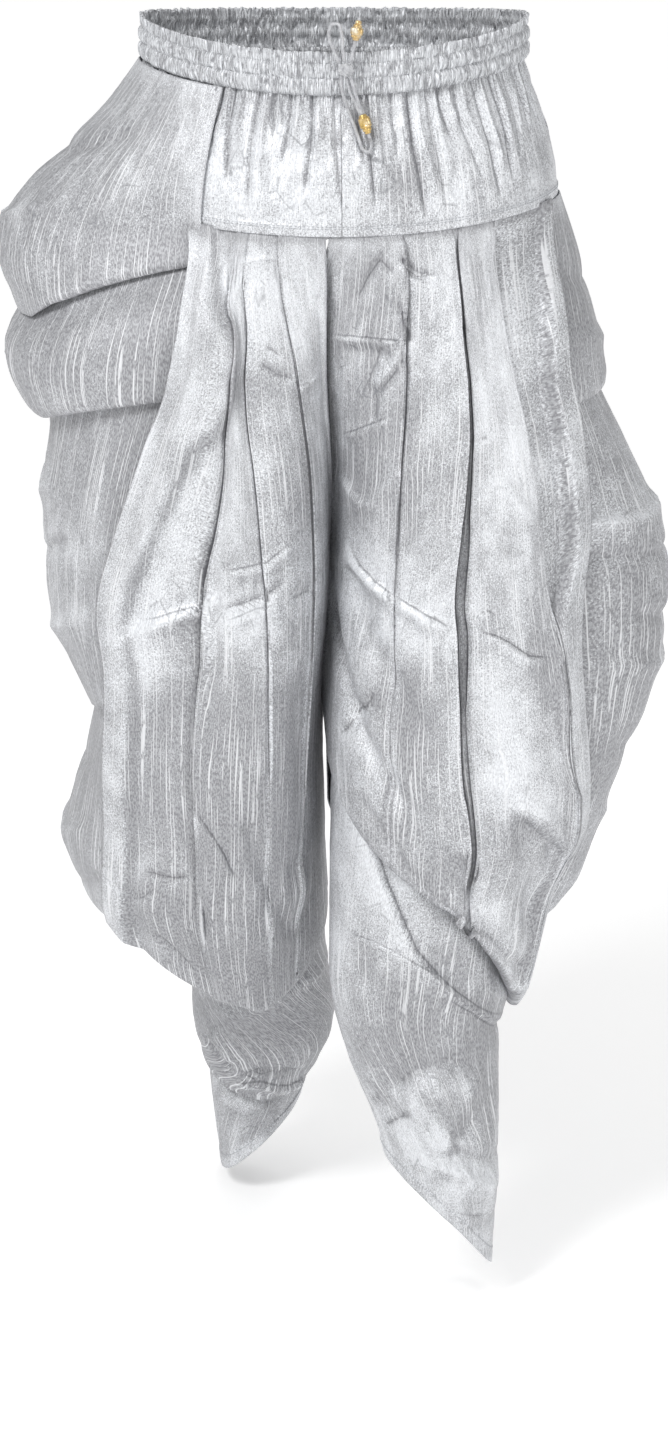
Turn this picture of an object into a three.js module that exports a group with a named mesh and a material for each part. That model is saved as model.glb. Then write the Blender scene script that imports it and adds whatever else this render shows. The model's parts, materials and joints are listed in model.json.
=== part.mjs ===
// A ready-made dhoti, worn shape with no wearer: an elastic waistband with a drawstring, a gathered hip
// yoke, two wide legs whose front and back panels hang in knife pleats from the yoke, side cowls that
// fall in overlapping folds, and narrow lower legs with slanted hems. One leg steps forward.
//
// Millimetres. +Z is up, the front faces -Y, and the wearer's left is +X. The origin is the middle of
// the waist, where the wearer's body holds the garment up.
import * as THREE from "three";

// Cloth
const WALL = 2.0; // thickness of every cloth wall
const SEAM = 0.35; // gap between two pieces at a seam
const LAYER = 1.3; // gap between two layers that lie on each other
const FLARE = 12; // how far a leg panel's free side edge stands off the leg's form
const TUCK = 3; // how far the side panel under that edge stands off it

// Waistband and yoke: superellipse rings, wider at the hip than at the waist
const WAIST = { halfWidth: 146, halfDepth: 107, sideTop: 19, frontDip: 18.5, backDip: 6 };
const BAND = { wall: 3, frill: 8, upperChannel: 11, lowerChannel: 13, gathers: 92, gatherDepth: 1.5, puff: 2.4 };
const BAND_HEIGHT = BAND.frill + BAND.upperChannel + BAND.lowerChannel;
const HIP = { halfWidth: 174, halfDepth: 130, sideLevel: -117, frontLevel: -134, backLevel: -124 };
const YOKE = { gathers: 12, gatherDepth: 1.9, rows: 4 };
const CENTRE_FRONT = 6; // the front seam of the yoke lies this far to the wearer's left

// Each leg's upper form: a row for each section, as distances from the middle of the body.
// inner and outer are sideways, front and back are along Y, round is the superellipse's power.
const LEFT_THIGH = [
  { z: -110, inner: 0.4, outer: 175, front: -131, back: 129, round: 2.3 },
  { z: -200, inner: 0.4, outer: 184, front: -137, back: 138, round: 2.4 },
  { z: -300, inner: 0.4, outer: 193, front: -143, back: 140, round: 2.4 },
  { z: -400, inner: 0.4, outer: 200, front: -149, back: 124, round: 2.4 },
  { z: -500, inner: 1.5, outer: 204, front: -157, back: 100, round: 2.4 },
  { z: -600, inner: 2, outer: 196, front: -167, back: 70, round: 2.4 },
  { z: -655, inner: 2, outer: 168, front: -173, back: 52, round: 2.3 },
  { z: -720, inner: 3, outer: 150, front: -180, back: 28, round: 2.2 },
  { z: -800, inner: 8, outer: 126, front: -188, back: 2, round: 2.2 },
];
const RIGHT_THIGH = [
  { z: -110, inner: 0.4, outer: 172, front: -131, back: 129, round: 2.5 },
  { z: -200, inner: 0.4, outer: 184, front: -139, back: 138, round: 2.9 },
  { z: -300, inner: 0.4, outer: 192, front: -144, back: 144, round: 3.1 },
  { z: -400, inner: 0.4, outer: 196, front: -144, back: 144, round: 3.1 },
  { z: -500, inner: 1.5, outer: 194, front: -137, back: 141, round: 2.9 },
  { z: -600, inner: 2, outer: 194, front: -119, back: 143, round: 2.7 },
  { z: -680, inner: 2, outer: 192, front: -92, back: 149, round: 2.6 },
  { z: -740, inner: 3, outer: 176, front: -62, back: 157, round: 2.5 },
  { z: -810, inner: 6, outer: 158, front: -28, back: 164, round: 2.4 },
];
// The lower legs, from under the thigh cloth down to the hem
const LEFT_SHIN = [
  { z: -500, inner: 16, outer: 140, front: -116, back: 48, round: 2.1 },
  { z: -600, inner: 12, outer: 140, front: -142, back: 30, round: 2.1 },
  { z: -700, inner: 6, outer: 138, front: -162, back: 6, round: 2.1 },
  { z: -760, inner: 4, outer: 134, front: -171, back: -12, round: 2.1 },
  { z: -800, inner: 14, outer: 132, front: -177, back: -32, round: 2.1 },
  { z: -850, inner: 35, outer: 132, front: -184, back: -54, round: 2.1 },
  { z: -900, inner: 46, outer: 131, front: -190, back: -70, round: 2.1 },
  { z: -975, inner: 56, outer: 125, front: -194, back: -84, round: 2.1 },
];
const RIGHT_SHIN = [
  { z: -600, inner: 16, outer: 145, front: -52, back: 102, round: 2.1 },
  { z: -700, inner: 12, outer: 139, front: -28, back: 128, round: 2.1 },
  { z: -760, inner: 10, outer: 124, front: -6, back: 142, round: 2.1 },
  { z: -800, inner: 9, outer: 113, front: 12, back: 148, round: 2.1 },
  { z: -850, inner: 14, outer: 108, front: 30, back: 154, round: 2.1 },
  { z: -900, inner: 27, outer: 106, front: 46, back: 160, round: 2.1 },
  { z: -980, inner: 46, outer: 97, front: 58, back: 164, round: 2.1 },
];
const CROTCH = -430; // the level where the two legs part
const HIP_BLEND = 95; // how far below the yoke seam the hip's shape turns into the leg's
// The fold between the legs wanders sideways by x as it goes down.
const MIDLINE = [
  { z: -134, x: -5 }, { z: -240, x: -6 }, { z: -330, x: -2 }, { z: -420, x: -3 }, { z: -520, x: -8 },
  { z: -620, x: -7 }, { z: -720, x: -2 }, { z: -800, x: 0 },
];
const MIDLINE_REACH = 90; // how far from the middle the sideways shift has faded out

// The levels at which the lines of the front panels are read
const LEVELS = [-134, -200, -250, -300, -370, -430, -480, -560, -640, -740];
// The pleats of each front panel, from the centre outwards. x is the fold's distance from the middle of
// the body at each of LEVELS. step is the height of its fold edge at the top, half way down and at the
// bottom: above 0 the fold lies over the cloth outside it, below 0 over the cloth inside it.
const LEFT_FRONT_PLEATS = [
  { x: [50, 52, 52, 50, 48, 46, 44, 42, 42, 44], step: [5, 2, 0] },
  { x: [88, 93, 96, 98, 92, 92, 92, 95, 100, 108], step: [5, 7, 3] },
  { x: [94, 98, 101, 104, 106, 106, 106, 104, 108, 116], step: [-2, -7, -3] },
  { x: [120, 125, 134, 144, 156, 165, 171, 178, 180, 180], step: [5, 6, 2] },
];
const RIGHT_FRONT_PLEATS = [
  { x: [41, 34, 26, 20, 16, 16, 18, 22, 26, 30], step: [4, 2, 0] },
  { x: [60, 64, 69, 60, 53, 50, 50, 50, 50, 50], step: [3, 2, 0] },
  { x: [76, 76, 76, 78, 87, 95, 102, 111, 104, 96], step: [5, 7, 5] },
];
const LEFT_FRONT_EDGE = { x: [166, 168, 172, 182, 190, 184, 184, 190, 172, 144] };
const RIGHT_FRONT_EDGE = { x: [110, 113, 121, 138, 160, 174, 170, 173, 175, 168] };
// The pleats of the back panels, which a photograph from the front doesn't show: at is the share of the
// way from the centre seam to the free side edge, at the top, half way down and at the bottom.
const BACK_PLEATS = [
  { at: [0.22, 0.22, 0.24], step: [5, 4, 0] },
  { at: [0.42, 0.41, 0.42], step: [5, 5, 2] },
  { at: [0.62, 0.6, 0.6], step: [5, 5, 2] },
];

// The largest soft folds of each panel: from and to are places across and down it, depth is below the form.
const LEFT_FRONT_FOLDS = [
  { from: [0.1, 0.72], to: [0.72, 1.02], width: 14, depth: 7 },
  { from: [0.22, 0.6], to: [0.86, 0.9], width: 16, depth: 5 },
  { from: [0.6, 0.78], to: [0.9, 0.72], width: 16, depth: -5 },
];
const RIGHT_FRONT_FOLDS = [
  { from: [0.3, 0.86], to: [0.8, 0.9], width: 20, depth: -6 },
  { from: [0.55, 0.74], to: [0.4, 0.88], width: 12, depth: 4 },
];
const BACK_FOLDS = [
  { from: [0.15, 0.7], to: [0.8, 0.86], width: 18, depth: 7 },
  { from: [0.3, 0.56], to: [0.85, 0.72], width: 16, depth: 5 },
];

// The four leg panels. edge is the free side edge, and bottom is a soft fold that turns in under the
// panel: its level at the centre, at the side edge, and how far it sags between them.
const PANELS = [
  {
    name: "leg_front_left", side: 1, facing: -1, pleats: LEFT_FRONT_PLEATS, folds: LEFT_FRONT_FOLDS,
    edge: LEFT_FRONT_EDGE, bottom: { centre: -545, side: -752, sag: 16 }, rows: 16, perPleat: 3,
  },
  {
    name: "leg_front_right", side: -1, facing: -1, pleats: RIGHT_FRONT_PLEATS, folds: RIGHT_FRONT_FOLDS,
    edge: RIGHT_FRONT_EDGE, bottom: { centre: -722, side: -728, sag: 58 }, rows: 16, perPleat: 3,
  },
  {
    name: "leg_back_left", side: 1, facing: 1, pleats: BACK_PLEATS, folds: BACK_FOLDS,
    edge: { a: [{ z: -120, a: 0.36 }, { z: -400, a: 0.34 }, { z: -560, a: 0.16 }, { z: -800, a: 0.12 }] },
    bottom: { centre: -600, side: -690, sag: 34 }, rows: 12, perPleat: 2,
  },
  {
    name: "leg_back_right", side: -1, facing: 1, pleats: BACK_PLEATS, folds: BACK_FOLDS,
    edge: { a: [{ z: -120, a: 0.4 }, { z: -400, a: 0.4 }, { z: -560, a: 0.34 }, { z: -800, a: 0.3 }] },
    bottom: { centre: -700, side: -716, sag: 50 }, rows: 12, perPleat: 2,
  },
];

// The side panels fall in cowls, each tucked under the one above. foot is the level of a cowl's lower edge
// at its front, a third and two thirds of the way back, and at its back. reach is how far out from the
// middle of the body it stands at levels z, and swing is how far back its outermost line lies.
const SIDE_PANELS = [
  {
    name: "side_panel_right", side: -1, fromBand: true,
    cowls: [
      {
        foot: [-150, -200, -199, -170], swing: 6, rows: 5,
        reach: [{ z: -24, x: 152 }, { z: -48, x: 176 }, { z: -84, x: 213 }, { z: -139, x: 260 }, { z: -176, x: 261 }, { z: -206, x: 247 }],
      },
      {
        foot: [-250, -278, -276, -262], swing: 8, rows: 3,
        reach: [{ z: -150, x: 225 }, { z: -190, x: 238 }, { z: -232, x: 259 }, { z: -262, x: 252 }, { z: -288, x: 236 }],
      },
      {
        foot: [-500, -512, -508, -500], swing: 10, rows: 4,
        reach: [{ z: -240, x: 212 }, { z: -290, x: 224 }, { z: -369, x: 231 }, { z: -454, x: 225 }, { z: -490, x: 210 }, { z: -515, x: 199 }],
      },
      {
        foot: [-722, -710, -704, -711], swing: 30, rows: 4,
        reach: [{ z: -470, x: 186 }, { z: -530, x: 192 }, { z: -604, x: 213 }, { z: -670, x: 223 }, { z: -696, x: 214 }, { z: -720, x: 196 }],
      },
    ],
  },
  {
    name: "side_panel_left", side: 1, fromBand: false,
    cowls: [
      {
        foot: [-270, -262, -250, -256], swing: 6, rows: 3,
        reach: [{ z: -110, x: 177 }, { z: -156, x: 190 }, { z: -239, x: 212 }, { z: -266, x: 217 }],
      },
      {
        foot: [-716, -668, -652, -640], swing: 14, rows: 6,
        reach: [{ z: -230, x: 197 }, { z: -270, x: 207 }, { z: -318, x: 233 }, { z: -367, x: 255 }, { z: -413, x: 270 }, { z: -488, x: 261 }, { z: -539, x: 246 }, { z: -612, x: 214 }, { z: -655, x: 198 }],
      },
    ],
  },
];
// lap is how far one cowl hides the next, under is how far the next lies inside it, and overlap is how far
// the side panel runs on under the leg panels, as a share of a quarter turn.
const COWL = { columns: 14, lap: 16, under: 7.5, overlap: 0.05, hold: 0.97, turn: 3 };

// The lower legs. hem is the level of the slanted hem at the inner side and at the outer side.
const SHINS = [
  { name: "lower_leg_left", side: 1, form: LEFT_SHIN, top: -520, hem: { inner: -868, outer: -962 } },
  { name: "lower_leg_right", side: -1, form: RIGHT_SHIN, top: -640, hem: { inner: -902, outer: -972 } },
];
const SHIN = { columns: 24, rows: 9 };
// A last fold of the right leg's cloth lies round its calf.
const WRAP = {
  name: "calf_wrap_right", top: -690, foot: { inner: -868, outer: -862, front: -892 }, lift: 7, columns: 22, rows: 6,
};

// Drawstring: a soft cord tied in a bow over the centre front, with a metal bead on each end. x and z are
// places on the front, and out is how far a point stands off the cloth there.
const CORD = { diameter: 2.6, sides: 8, step: 5.8 };
const KNOT = { x: 9, z: -11, width: 12, height: 10, depth: 7.4, out: 4 };
const CORDS = [
  {
    name: "cord_loop_upper",
    route: [
      { x: 4.2, z: -6.4, out: 4 }, { x: 1, z: 1, out: 3.6 }, { x: -2.4, z: 9, out: 2.4 }, { x: -3.9, z: 16, out: 1.4 },
      { x: -1.6, z: 22, out: 1 }, { x: 3.2, z: 22.4, out: 1 }, { x: 5.4, z: 16, out: 1.6 }, { x: 6.2, z: 8, out: 2.6 },
      { x: 7, z: 0, out: 3.6 }, { x: 7.8, z: -5.4, out: 4 },
    ],
  },
  {
    name: "cord_end_upper",
    route: [
      { x: 12, z: -6.2, out: 4 }, { x: 13.4, z: -1, out: 3.8 }, { x: 14.6, z: 4, out: 3.4 }, { x: 15.8, z: 10, out: 3.4 },
      { x: 18.8, z: 28, out: 3.4 },
    ],
  },
  {
    name: "cord_end_lower",
    route: [
      { x: 12.4, z: -15.5, out: 4.6 }, { x: 14.2, z: -22, out: 5.4 }, { x: 16.6, z: -30, out: 6.2 }, { x: 18.8, z: -37, out: 6.6 },
      { x: 20.9, z: -43, out: 7 }, { x: 26.7, z: -61, out: 7 },
    ],
  },
  {
    name: "cord_loop_lower",
    route: [
      { x: 5.4, z: -15.6, out: 3.4 }, { x: 5.6, z: -24, out: 2 }, { x: 9.6, z: -38, out: 0 }, { x: 15, z: -52, out: 0 },
      { x: 19.2, z: -64, out: 0 }, { x: 21.8, z: -70, out: 0 }, { x: 26, z: -71.6, out: 0 }, { x: 28, z: -67, out: 0 },
      { x: 24.6, z: -56, out: 0 }, { x: 18.6, z: -42, out: 0 }, { x: 12.4, z: -28, out: 1.4 }, { x: 9.2, z: -16.6, out: 3.2 },
    ],
  },
];
const BEADS = [
  { name: "bead_upper", cord: "cord_end_upper", from: 0.5 },
  { name: "bead_lower", cord: "cord_end_lower", from: 0.62 },
];
// A bead's outline from one end to the other, round the bore that its cord runs through
const BEAD_BORE = 1.65;
const BEAD_OUTLINE = [
  { along: 0, radius: 2.3 }, { along: 1.6, radius: 3.2 }, { along: 2.6, radius: 2.7 }, { along: 4.4, radius: 4.4 },
  { along: 8.6, radius: 4.7 }, { along: 10.8, radius: 3.8 }, { along: 11.8, radius: 2.6 }, { along: 13.2, radius: 3.1 },
  { along: 14.8, radius: 2 },
];

const COLOURS = { cloth: 0xc3c6ca, cord: 0xd6d8da, bead: 0xc9a24e };
const FINISHES = {
  cloth: new THREE.MeshStandardMaterial({ color: COLOURS.cloth, roughness: 0.42, metalness: 0.35 }),
  cord: new THREE.MeshStandardMaterial({ color: COLOURS.cord, roughness: 0.7, metalness: 0 }),
  bead: new THREE.MeshStandardMaterial({ color: COLOURS.bead, roughness: 0.28, metalness: 0.9 }),
};

const mix = (a, b, t) => a + (b - a) * t;
const clamp = (x, low, high) => Math.min(Math.max(x, low), high);
const smooth = (low, high, x) => {
  const t = clamp((x - low) / (high - low), 0, 1);
  return t * t * (3 - 2 * t);
};
const range = (count, make) => Array.from({ length: count }, (_, i) => make(i));
// A superellipse's share of its half width at an angle: value is the angle's cosine or sine
const bulge = (value, power) => Math.sign(value) * Math.abs(value) ** (2 / power);

// A column of a table read at height z, on a smooth curve through its rows
function read(table, column, z) {
  const last = table.length - 1;
  if (z >= table[0].z) return table[0][column];
  if (z <= table[last].z) return table[last][column];
  const i = table.findIndex((row) => row.z <= z) - 1;
  const [a, b] = [table[i], table[i + 1]];
  const span = b.z - a.z;
  const slope = (p, q) => ((q[column] - p[column]) / (q.z - p.z)) * span;
  const t = (z - a.z) / span;
  return (
    (2 * t ** 3 - 3 * t ** 2 + 1) * a[column] +
    (t ** 3 - 2 * t ** 2 + t) * slope(table[Math.max(i - 1, 0)], b) +
    (3 * t ** 2 - 2 * t ** 3) * b[column] +
    (t ** 3 - t ** 2) * slope(a, table[Math.min(i + 2, last)])
  );
}

// Evenly spaced values read at a place from 0 to 1 along them
function along(values, t) {
  const place = clamp(t, 0, 1) * (values.length - 1);
  const i = Math.min(Math.floor(place), values.length - 2);
  return mix(values[i], values[i + 1], place - i);
}

// Levels round the body at an angle, where -PI / 2 is the centre front
function levelAt(angle, side, front, back) {
  const towardsFront = Math.max(0, -Math.sin(angle)) ** 1.6;
  const towardsBack = Math.max(0, Math.sin(angle)) ** 1.6;
  return side + (front - side) * towardsFront + (back - side) * towardsBack;
}
const waistTop = (angle) =>
  levelAt(angle, WAIST.sideTop, WAIST.sideTop - WAIST.frontDip, WAIST.sideTop - WAIST.backDip);
const hipLevel = (angle) => levelAt(angle, HIP.sideLevel, HIP.frontLevel, HIP.backLevel);

// A point of the body's form between the waistband's foot, down 0, and the yoke seam, down 1
function yokePoint(angle, down, off = 0) {
  const widen = Math.sin((down * Math.PI) / 2) ** 1.15;
  const halfWidth = mix(WAIST.halfWidth, HIP.halfWidth, widen) + off;
  const halfDepth = mix(WAIST.halfDepth, HIP.halfDepth, widen) + off;
  const z = mix(waistTop(angle) - BAND_HEIGHT, hipLevel(angle), down);
  return new THREE.Vector3(halfWidth * Math.cos(angle), halfDepth * Math.sin(angle), z);
}

// Puts a point that is x outwards on its side of the body, with the midline's sideways shift
function placed(side, x, y, z) {
  const shift = read(MIDLINE, "x", z) * (1 - smooth(0, MIDLINE_REACH, x));
  return new THREE.Vector3(side * x + shift, y, z);
}

// A point of a leg's upper form. a runs round the leg from the front centre seam, -1, past the side, 0,
// to the back centre seam, 1. Above the crotch the seam lies in the fold between the legs.
function thighPoint(side, a, z, off = 0) {
  const angle = (Math.PI / 2) * a;
  const seamLevel = hipLevel(angle);
  if (z > seamLevel) {
    const topLevel = waistTop(angle) - BAND_HEIGHT;
    const p = yokePoint(angle, clamp((topLevel - z) / (topLevel - seamLevel), 0, 1), off);
    return new THREE.Vector3(side * p.x, p.y, z);
  }
  const form = side > 0 ? LEFT_THIGH : RIGHT_THIGH;
  const [inner, outer] = [read(form, "inner", z), read(form, "outer", z)];
  const [front, back] = [read(form, "front", z), read(form, "back", z)];
  const power = read(form, "round", z);
  const seamTurn = mix(0.62 * Math.PI, Math.PI, smooth(HIP.frontLevel, CROTCH, z) ** 0.8);
  const turn = a * seamTurn;
  const halfWidth = (outer - inner) / 2;
  const seamX = inner + halfWidth * (1 + bulge(Math.cos(seamTurn), power));
  const ringX = inner + halfWidth + (halfWidth + off) * bulge(Math.cos(turn), power) - (seamX - inner) * smooth(0.55, 1, Math.abs(a));
  const ringY = (front + back) / 2 + ((back - front) / 2 + off) * bulge(Math.sin(turn), power);
  const blend = smooth(0, HIP_BLEND, seamLevel - z);
  const x = mix((HIP.halfWidth + off) * Math.cos(angle), Math.max(ringX, inner), blend);
  return placed(side, Math.max(x, SEAM / 2), mix((HIP.halfDepth + off) * Math.sin(angle), ringY, blend), z);
}

// The place round a leg, as thighPoint's a, where its front form is x from the middle of the body
function frontPlaceAt(side, x, z) {
  let [low, high] = [-1, -0.02];
  for (let i = 0; i < 30; i += 1) {
    const middle = (low + high) / 2;
    if (side * thighPoint(side, middle, z).x < x) low = middle;
    else high = middle;
  }
  return low;
}
const linesFrom = (side, xs) => LEVELS.map((z, i) => ({ z, a: Math.abs(frontPlaceAt(side, xs[i], z)) }));

// A point of a lower leg's form. turn runs round it from the outer side, 0, past the front, -PI / 2.
function shinPoint(side, turn, z, off = 0) {
  const form = side > 0 ? LEFT_SHIN : RIGHT_SHIN;
  const [inner, outer] = [read(form, "inner", z), read(form, "outer", z)];
  const [front, back] = [read(form, "front", z), read(form, "back", z)];
  const power = read(form, "round", z);
  const x = (inner + outer) / 2 + ((outer - inner) / 2 + off) * bulge(Math.cos(turn), power);
  return placed(side, x, (front + back) / 2 + ((back - front) / 2 + off) * bulge(Math.sin(turn), power), z);
}
// The turn of the lower leg's form that faces a point
function shinTurnOf(side, p) {
  const form = side > 0 ? LEFT_SHIN : RIGHT_SHIN;
  const [inner, outer] = [read(form, "inner", p.z), read(form, "outer", p.z)];
  const [front, back] = [read(form, "front", p.z), read(form, "back", p.z)];
  return Math.atan2((p.y - (front + back) / 2) / (back - front), (side * p.x - (inner + outer) / 2) / (outer - inner));
}

// The way out of a grid of points at each point, longer at a fold so that a wall keeps its thickness
function gridNormals(grid, loop) {
  const [rows, columns] = [grid.length, grid[0].length];
  const faces = range(rows - 1, (i) =>
    range(loop ? columns : columns - 1, (j) => {
      const k = (j + 1) % columns;
      const falling = new THREE.Vector3().subVectors(grid[i + 1][k], grid[i][j]);
      const rising = new THREE.Vector3().subVectors(grid[i + 1][j], grid[i][k]);
      return falling.cross(rising).normalize();
    }),
  );
  return grid.map((row, i) =>
    row.map((_, j) => {
      const near = [i - 1, i].flatMap((fi) => [j - 1, j].map((fj) => faces[fi]?.[loop ? (fj + columns) % columns : fj]));
      const present = near.filter(Boolean);
      const normal = present.reduce((sum, n) => sum.add(n), new THREE.Vector3()).normalize();
      const agreement = present.reduce((sum, n) => sum + n.dot(normal), 0) / present.length;
      return normal.divideScalar(Math.max(agreement, 0.6));
    }),
  );
}

// A closed wall between a grid of its outer points, rows from top to bottom, and an inner grid of as many
// columns. A looped wall's inner grid may have fewer rows.
function wallBetween(outer, inner, loop) {
  const columns = outer[0].length;
  const points = [...outer.flat(), ...inner.flat()];
  const out = (i, j) => i * columns + (j % columns);
  const inn = (i, j) => outer.length * columns + out(i, j);
  const triangles = [];
  const quad = (a, b, c, d) => triangles.push(a, b, c, a, c, d);
  const [outEnd, inEnd] = [outer.length - 1, inner.length - 1];
  for (let j = 0; j < (loop ? columns : columns - 1); j += 1) {
    for (let i = 0; i < outEnd; i += 1) quad(out(i, j), out(i + 1, j), out(i + 1, j + 1), out(i, j + 1));
    for (let i = 0; i < inEnd; i += 1) quad(inn(i, j), inn(i, j + 1), inn(i + 1, j + 1), inn(i + 1, j));
    quad(out(0, j), out(0, j + 1), inn(0, j + 1), inn(0, j));
    quad(out(outEnd, j), inn(inEnd, j), inn(inEnd, j + 1), out(outEnd, j + 1));
  }
  if (!loop) {
    const edge = columns - 1;
    for (let i = 0; i < outEnd; i += 1) {
      quad(out(i, 0), inn(i, 0), inn(i + 1, 0), out(i + 1, 0));
      quad(out(i, edge), out(i + 1, edge), inn(i + 1, edge), inn(i, edge));
    }
  }
  const volume = range(triangles.length / 3, (t) => {
    const [a, b, c] = [0, 1, 2].map((k) => points[triangles[3 * t + k]]);
    return a.dot(new THREE.Vector3().crossVectors(b, c));
  }).reduce((sum, v) => sum + v, 0);
  const geometry = new THREE.BufferGeometry().setFromPoints(points);
  geometry.setIndex(volume > 0 ? triangles : triangles.toReversed());
  geometry.computeVertexNormals();
  return geometry;
}

// A cloth wall under a grid of its outer points. facing is a grid row and column whose outside faces away
// from the point middle.
function clothWall(grid, middle, loop = false) {
  const normals = gridNormals(grid, loop);
  const j = Math.floor(grid[0].length / 2);
  const outwards = new THREE.Vector3(grid[1][j].x - middle.x, grid[1][j].y - middle.y, 0).dot(normals[1][j]);
  const depth = outwards > 0 ? -WALL : WALL;
  const inner = grid.map((row, i) => row.map((p, k) => p.clone().addScaledVector(normals[i][k], depth)));
  return wallBetween(grid, inner, loop);
}

const dhoti = new THREE.Group();
function add(name, geometry, finish) {
  const mesh = new THREE.Mesh(geometry, finish);
  mesh.name = name;
  dhoti.add(mesh);
}

// The waistband: a frilled top edge and two elastic channels, gathered all the way round, over a plain inside
function makeWaistband() {
  const { wall, frill, upperChannel, lowerChannel, gathers, gatherDepth, puff } = BAND;
  const levels = [
    { down: 0, off: 0.6, gather: 1 },
    { down: frill, off: -0.8, gather: 0.35 },
    { down: frill + upperChannel / 2, off: puff, gather: 0.9 },
    { down: frill + upperChannel, off: -0.8, gather: 0.35 },
    { down: frill + upperChannel + lowerChannel / 2, off: puff, gather: 0.9 },
    { down: BAND_HEIGHT - SEAM, off: -0.4, gather: 0.35 },
  ];
  const ring = (down, off) =>
    range(gathers * 2, (j) => {
      const angle = (Math.PI * j) / gathers;
      const stand = wall + off(j);
      return new THREE.Vector3(
        (WAIST.halfWidth + stand) * Math.cos(angle),
        (WAIST.halfDepth + stand) * Math.sin(angle),
        waistTop(angle) - down,
      );
    });
  const outer = levels.map(({ down, off, gather }) => ring(down, (j) => off + (j % 2 ? 1 : -1) * gather * gatherDepth));
  const inner = [0, BAND_HEIGHT - SEAM].map((down) => ring(down, () => -wall));
  add("waistband", wallBetween(outer, inner, true), FINISHES.cloth);
}

// The yoke: four quarters, gathered under the band and smooth at the pleat seam
function makeYoke() {
  const seamShare = CENTRE_FRONT / HIP.halfWidth;
  const quarters = [
    { name: "yoke_front_left", from: -Math.PI / 2 + seamShare, to: 0 },
    { name: "yoke_front_right", from: Math.PI, to: 1.5 * Math.PI + seamShare },
    { name: "yoke_back_left", from: 0, to: Math.PI / 2 },
    { name: "yoke_back_right", from: Math.PI / 2, to: Math.PI },
  ];
  const gap = SEAM / 2 / HIP.halfDepth;
  for (const { name, from, to } of quarters) {
    const grid = range(YOKE.rows + 1, (i) => {
      const down = i / YOKE.rows;
      return range(YOKE.gathers * 2 + 1, (j) => {
        const angle = mix(from + gap, to - gap, j / (YOKE.gathers * 2));
        const gather = (j % 2 ? 1 : -0.4) * YOKE.gatherDepth * (1 - down) ** 1.3;
        const p = yokePoint(angle, down, gather);
        if (i === YOKE.rows) p.z += SEAM / 2;
        if (i === 0) p.z -= SEAM / 2;
        return p;
      });
    });
    add(name, clothWall(grid, new THREE.Vector3()), FINISHES.cloth);
  }
}

// How far the pleats lift a panel at a place across it, from 0 at the centre seam to 1 at the side edge
function pleatLift(lines, across) {
  const k = lines.findIndex(({ at }) => across <= at);
  const before = k === 0 ? null : lines[k < 0 ? lines.length - 1 : k - 1];
  const after = k < 0 ? null : lines[k];
  const low = before ? Math.max(0, -before.step) : 0;
  const high = after ? Math.max(0, after.step) : 0;
  const start = before ? before.at : 0;
  const end = after ? after.at : 1;
  return mix(low, high, clamp((across - start) / Math.max(end - start, 1e-6), 0, 1));
}

// How far the soft folds lower a panel there. breadth and length are the panel's sizes.
function foldDrop(folds, across, down, breadth, length) {
  const drops = folds.map(({ from, to, width, depth }) => {
    const start = new THREE.Vector2(from[0] * breadth, from[1] * length);
    const way = new THREE.Vector2(to[0] * breadth, to[1] * length).sub(start);
    const place = new THREE.Vector2(across * breadth, down * length).sub(start);
    const t = clamp(place.dot(way) / way.lengthSq(), 0, 1);
    return depth * Math.exp(-(place.addScaledVector(way, -t).lengthSq() / width ** 2));
  });
  return drops.reduce((sum, drop) => sum + drop, 0);
}

const PANEL = { breadth: 330, lip: 0.006, gapFromCentre: 0.004, lineGap: 0.03 };

// The free side edge of a leg panel, as rows of a level and a place round the leg
for (const panel of PANELS) {
  panel.edgeLine = panel.edge.a || linesFrom(panel.side, panel.edge.x);
  panel.pleatLines = panel.pleats.map(({ x }) => (x ? linesFrom(panel.side, x) : null));
}
const edgeOf = (side, facing, z) => read(PANELS.find((p) => p.side === side && p.facing === facing).edgeLine, "a", z);

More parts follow.
